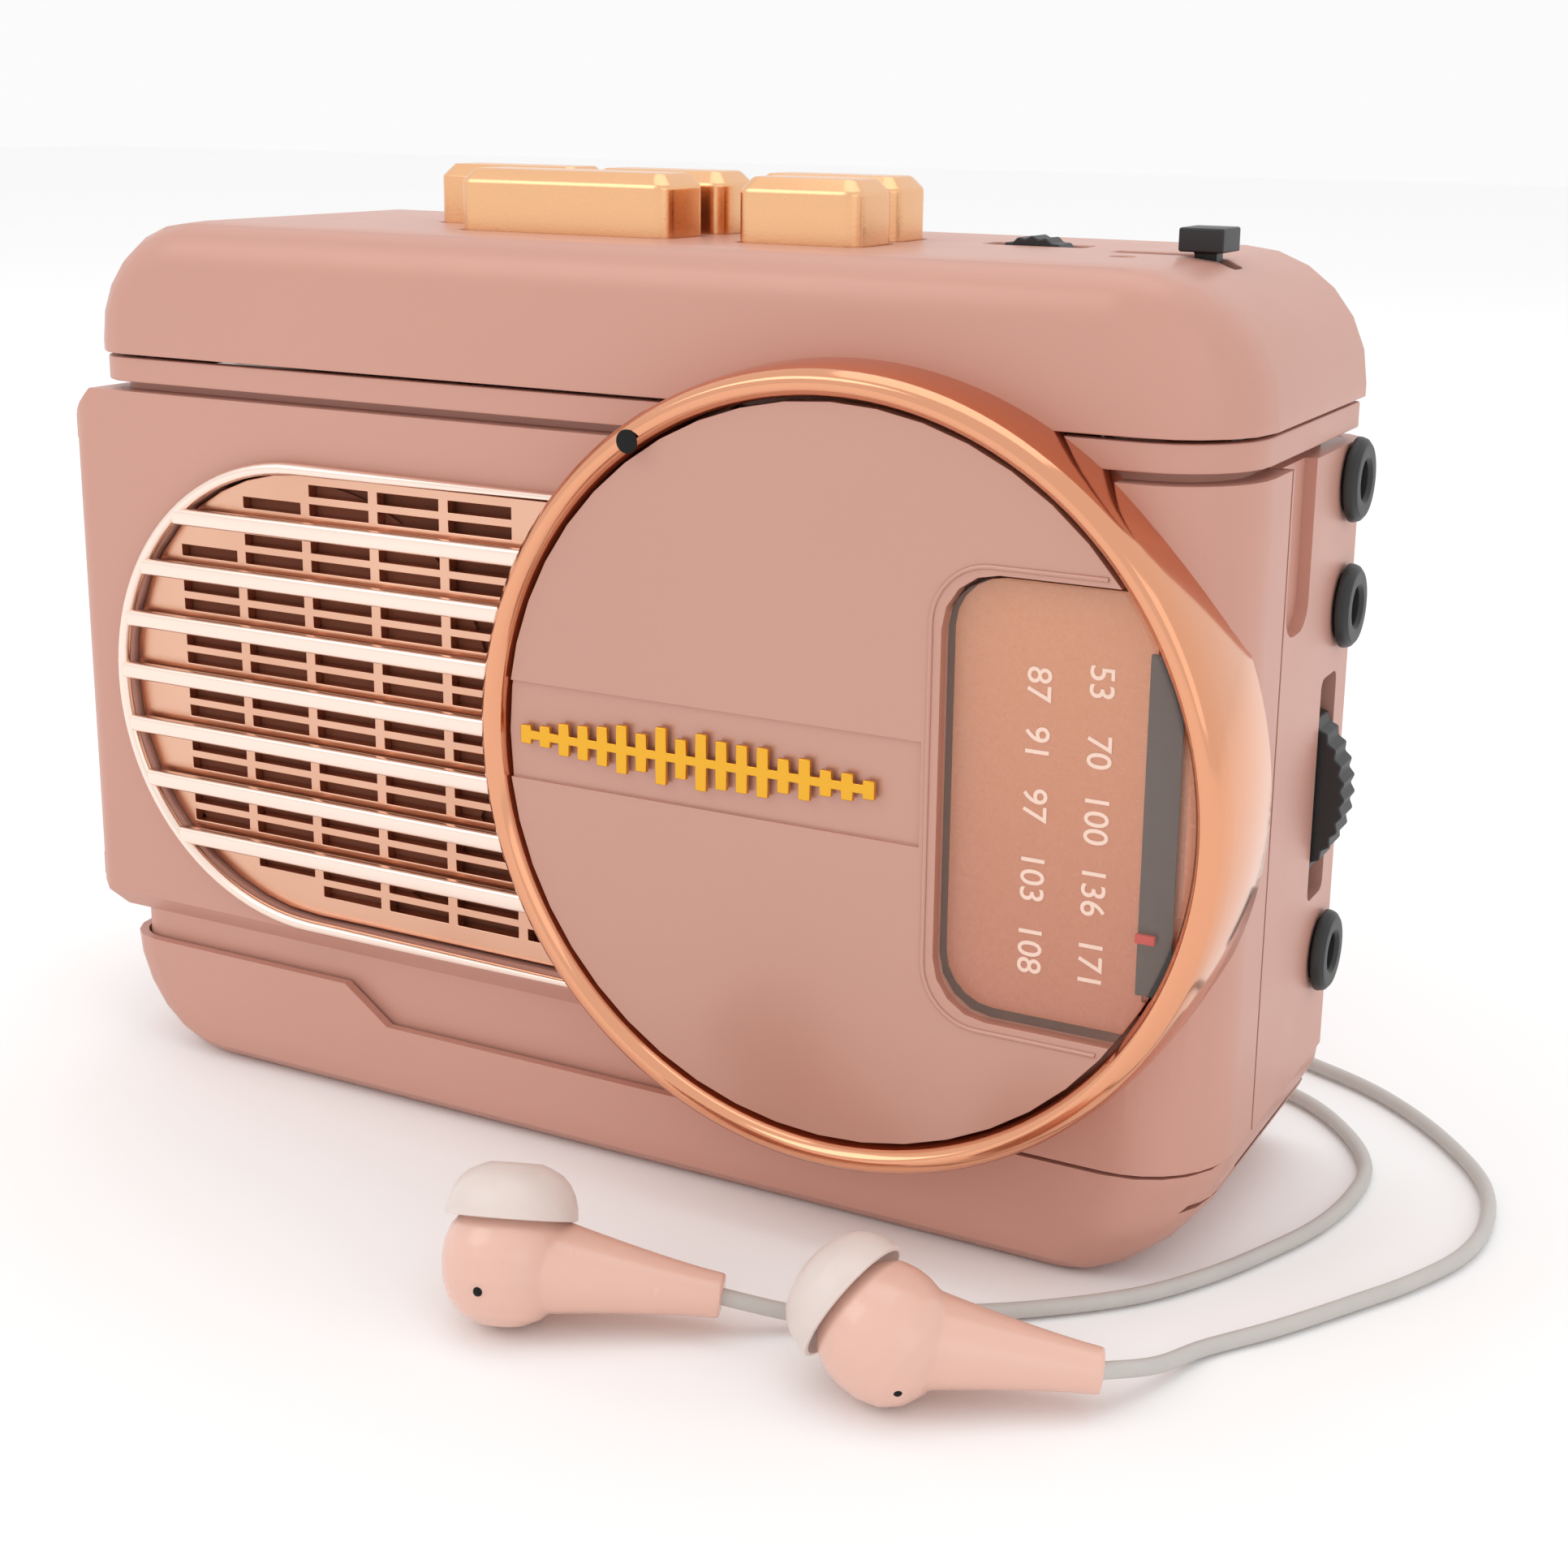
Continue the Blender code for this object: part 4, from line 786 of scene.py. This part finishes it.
class PLAYER_OT_leads(bpy.types.Operator):
    """Both leads, their splitter, the coiled main lead and the plug"""
    bl_idname = "player.leads"
    bl_label = "Leads"

    def execute(self, context):
        splitter = refine("lead_splitter", "lead", 0.15, 40.0)
        plug = self.plug()
        for side, route in (("left", LEFT_LEAD), ("right", RIGHT_LEAD)):
            points = smooth_route(route)
            piece = cord_curve("lead_%s_jacket" % side, points, LEAD)
            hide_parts("lead_" + side)
            length_of(points)
        points = smooth_route(MAIN_ROUTE) + coil_route()
        last = points[-1]
        for k in range(1, 9):
            point = last.lerp(self.tail, k / 8)
            point.z = last.z + (self.tail.z - last.z) * (3 - 2 * k / 8) * (k / 8) ** 2
            points.append(point)
        piece = cord_curve("main_lead_coiled", points, MAIN_LEAD)
        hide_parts("main_lead", "lead_coil")
        length_of(points)
        return {"FINISHED"}

    def plug(self):
        """Turned plug with a ribbed grip and insulating rings on its pin."""
        low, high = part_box("plug")
        along = Vector((math.cos(PLUG_TURN), math.sin(PLUG_TURN), 0.0))
        rear = (low + high) / 2 - along * 16.7 * MM
        self.tail = rear
        profile = [(0, 0), (1.2, 0), (1.7, 0.5), (2.2, 3.0), (2.8, 5.5), (3.3, 7.6)]
        for i in range(6):
            h = 8.2 + 1.5 * i
            profile += [(3.4, h), (3.4, h + 0.9), (3.15, h + 1.05), (3.15, h + 1.35)]
        profile += [(3.4, 17.4), (3.2, 18.3), (2.4, 18.6), (0, 18.6)]
        grip = spun(profile, Vector((0, 0, 0)), "X", 40)
        pin = spun([(0, 18.6), (1.75, 18.6), (1.75, 23.0), (1.62, 23.1), (1.62, 23.6), (1.75, 23.7),
                    (1.75, 27.0), (1.62, 27.1), (1.62, 27.6), (1.75, 27.7), (1.75, 29.8), (1.4, 30.4),
                    (1.4, 30.8), (1.75, 31.4), (0.9, 33.2), (0, 33.4)], Vector((0, 0, 0)), "X", 40)
        for piece, name, coat in ((grip, "plug_grip", "lead"), (pin, "plug_pin", "gold")):
            piece.matrix_world = Matrix.Translation(rear) @ Matrix.Rotation(PLUG_TURN, 4, "Z")
            complete(piece, name, "player", "lead", ("plug",), coat=coat)
        return bpy.data.objects["plug_grip"]


# ---------------------------------------------------------------- stage
class PLAYER_OT_stage(bpy.types.Operator):
    """Pale floor, soft lights and the camera"""
    bl_idname = "player.stage"
    bl_label = "Stage"

    def execute(self, context):
        select_none()
        bpy.ops.mesh.primitive_plane_add(size=6.0)
        floor = bpy.context.object
        floor.name = "floor"
        shader = Shader("pale_floor")
        floor.data.materials.append(shader.set(Base_Color=(0.97, 0.97, 0.97, 1.0), Roughness=0.75))
        world = bpy.data.worlds.new("studio")
        world.use_nodes = True
        world.node_tree.nodes["Background"].inputs["Color"].default_value = (1.0, 1.0, 1.0, 1.0)
        world.node_tree.nodes["Background"].inputs["Strength"].default_value = 0.97
        context.scene.world = world
        context.scene.view_settings.view_transform = "Standard"
        self.light("key_light", (-0.55, -0.65, 0.75), 0.6, 1.5)
        self.light("fill_light", (0.75, -0.45, 0.35), 0.5, 0.3)
        self.light("top_light", (0.0, 0.15, 0.95), 0.8, 1.4)
        self.camera()
        return {"FINISHED"}

    def light(self, name, at, size, power):
        select_none()
        bpy.ops.object.light_add(type="AREA", location=at)
        lamp = bpy.context.object
        lamp.name = name
        lamp.data.size = size
        lamp.data.energy = power
        lamp.rotation_euler = (Vector((0, 0, 0.045)) - Vector(at)).to_track_quat("-Z", "Y").to_euler()

    def camera(self):
        select_none()
        bpy.ops.object.camera_add()
        camera = bpy.context.object
        camera.name = "front_camera"
        camera.matrix_world = (Matrix.Translation((0.11204, -0.18718, 0.10045))
                               @ Matrix.Rotation(math.radians(27.485), 4, "Z")
                               @ Matrix.Rotation(math.radians(90 - 13.652), 4, "X")
                               @ Matrix.Rotation(math.radians(0.767), 4, "Z"))
        camera.data.lens, camera.data.sensor_width = 52.34, 36.0
        camera.data.shift_x, camera.data.shift_y = -0.0162, -0.0843
        camera.data.clip_start = 0.005
        bpy.context.scene.camera = camera


STEPS = (PLAYER_OT_housing, PLAYER_OT_grille, PLAYER_OT_dial, PLAYER_OT_keys, PLAYER_OT_controls,
         PLAYER_OT_deck, PLAYER_OT_earphones, PLAYER_OT_leads, PLAYER_OT_stage)


class PLAYER_PT_panel(bpy.types.Panel):
    """Settings and building steps of the cassette player"""
    bl_idname = "PLAYER_PT_panel"
    bl_label = "Cassette Player"
    bl_space_type = "VIEW_3D"
    bl_region_type = "UI"
    bl_category = "Player"

    def draw(self, context):
        for name in PlayerSettings.__annotations__:
            self.layout.prop(settings(), name)
        for step in STEPS:
            self.layout.operator(step.bl_idname)


CLASSES = (PlayerSettings,) + STEPS + (PLAYER_PT_panel,)


def register():
    for made in CLASSES:
        bpy.utils.register_class(made)
    bpy.types.Scene.cassette_player = bpy.props.PointerProperty(type=PlayerSettings)


def unregister():
    del bpy.types.Scene.cassette_player
    for made in reversed(CLASSES):
        bpy.utils.unregister_class(made)


def main():
    register()
    bpy.ops.player.housing()
    bpy.ops.player.grille()
    bpy.ops.player.dial()
    bpy.ops.player.keys()
    bpy.ops.player.controls()
    bpy.ops.player.deck()
    bpy.ops.player.earphones()
    bpy.ops.player.leads()
    bpy.ops.player.stage()


if __name__ == "__main__":
    main()
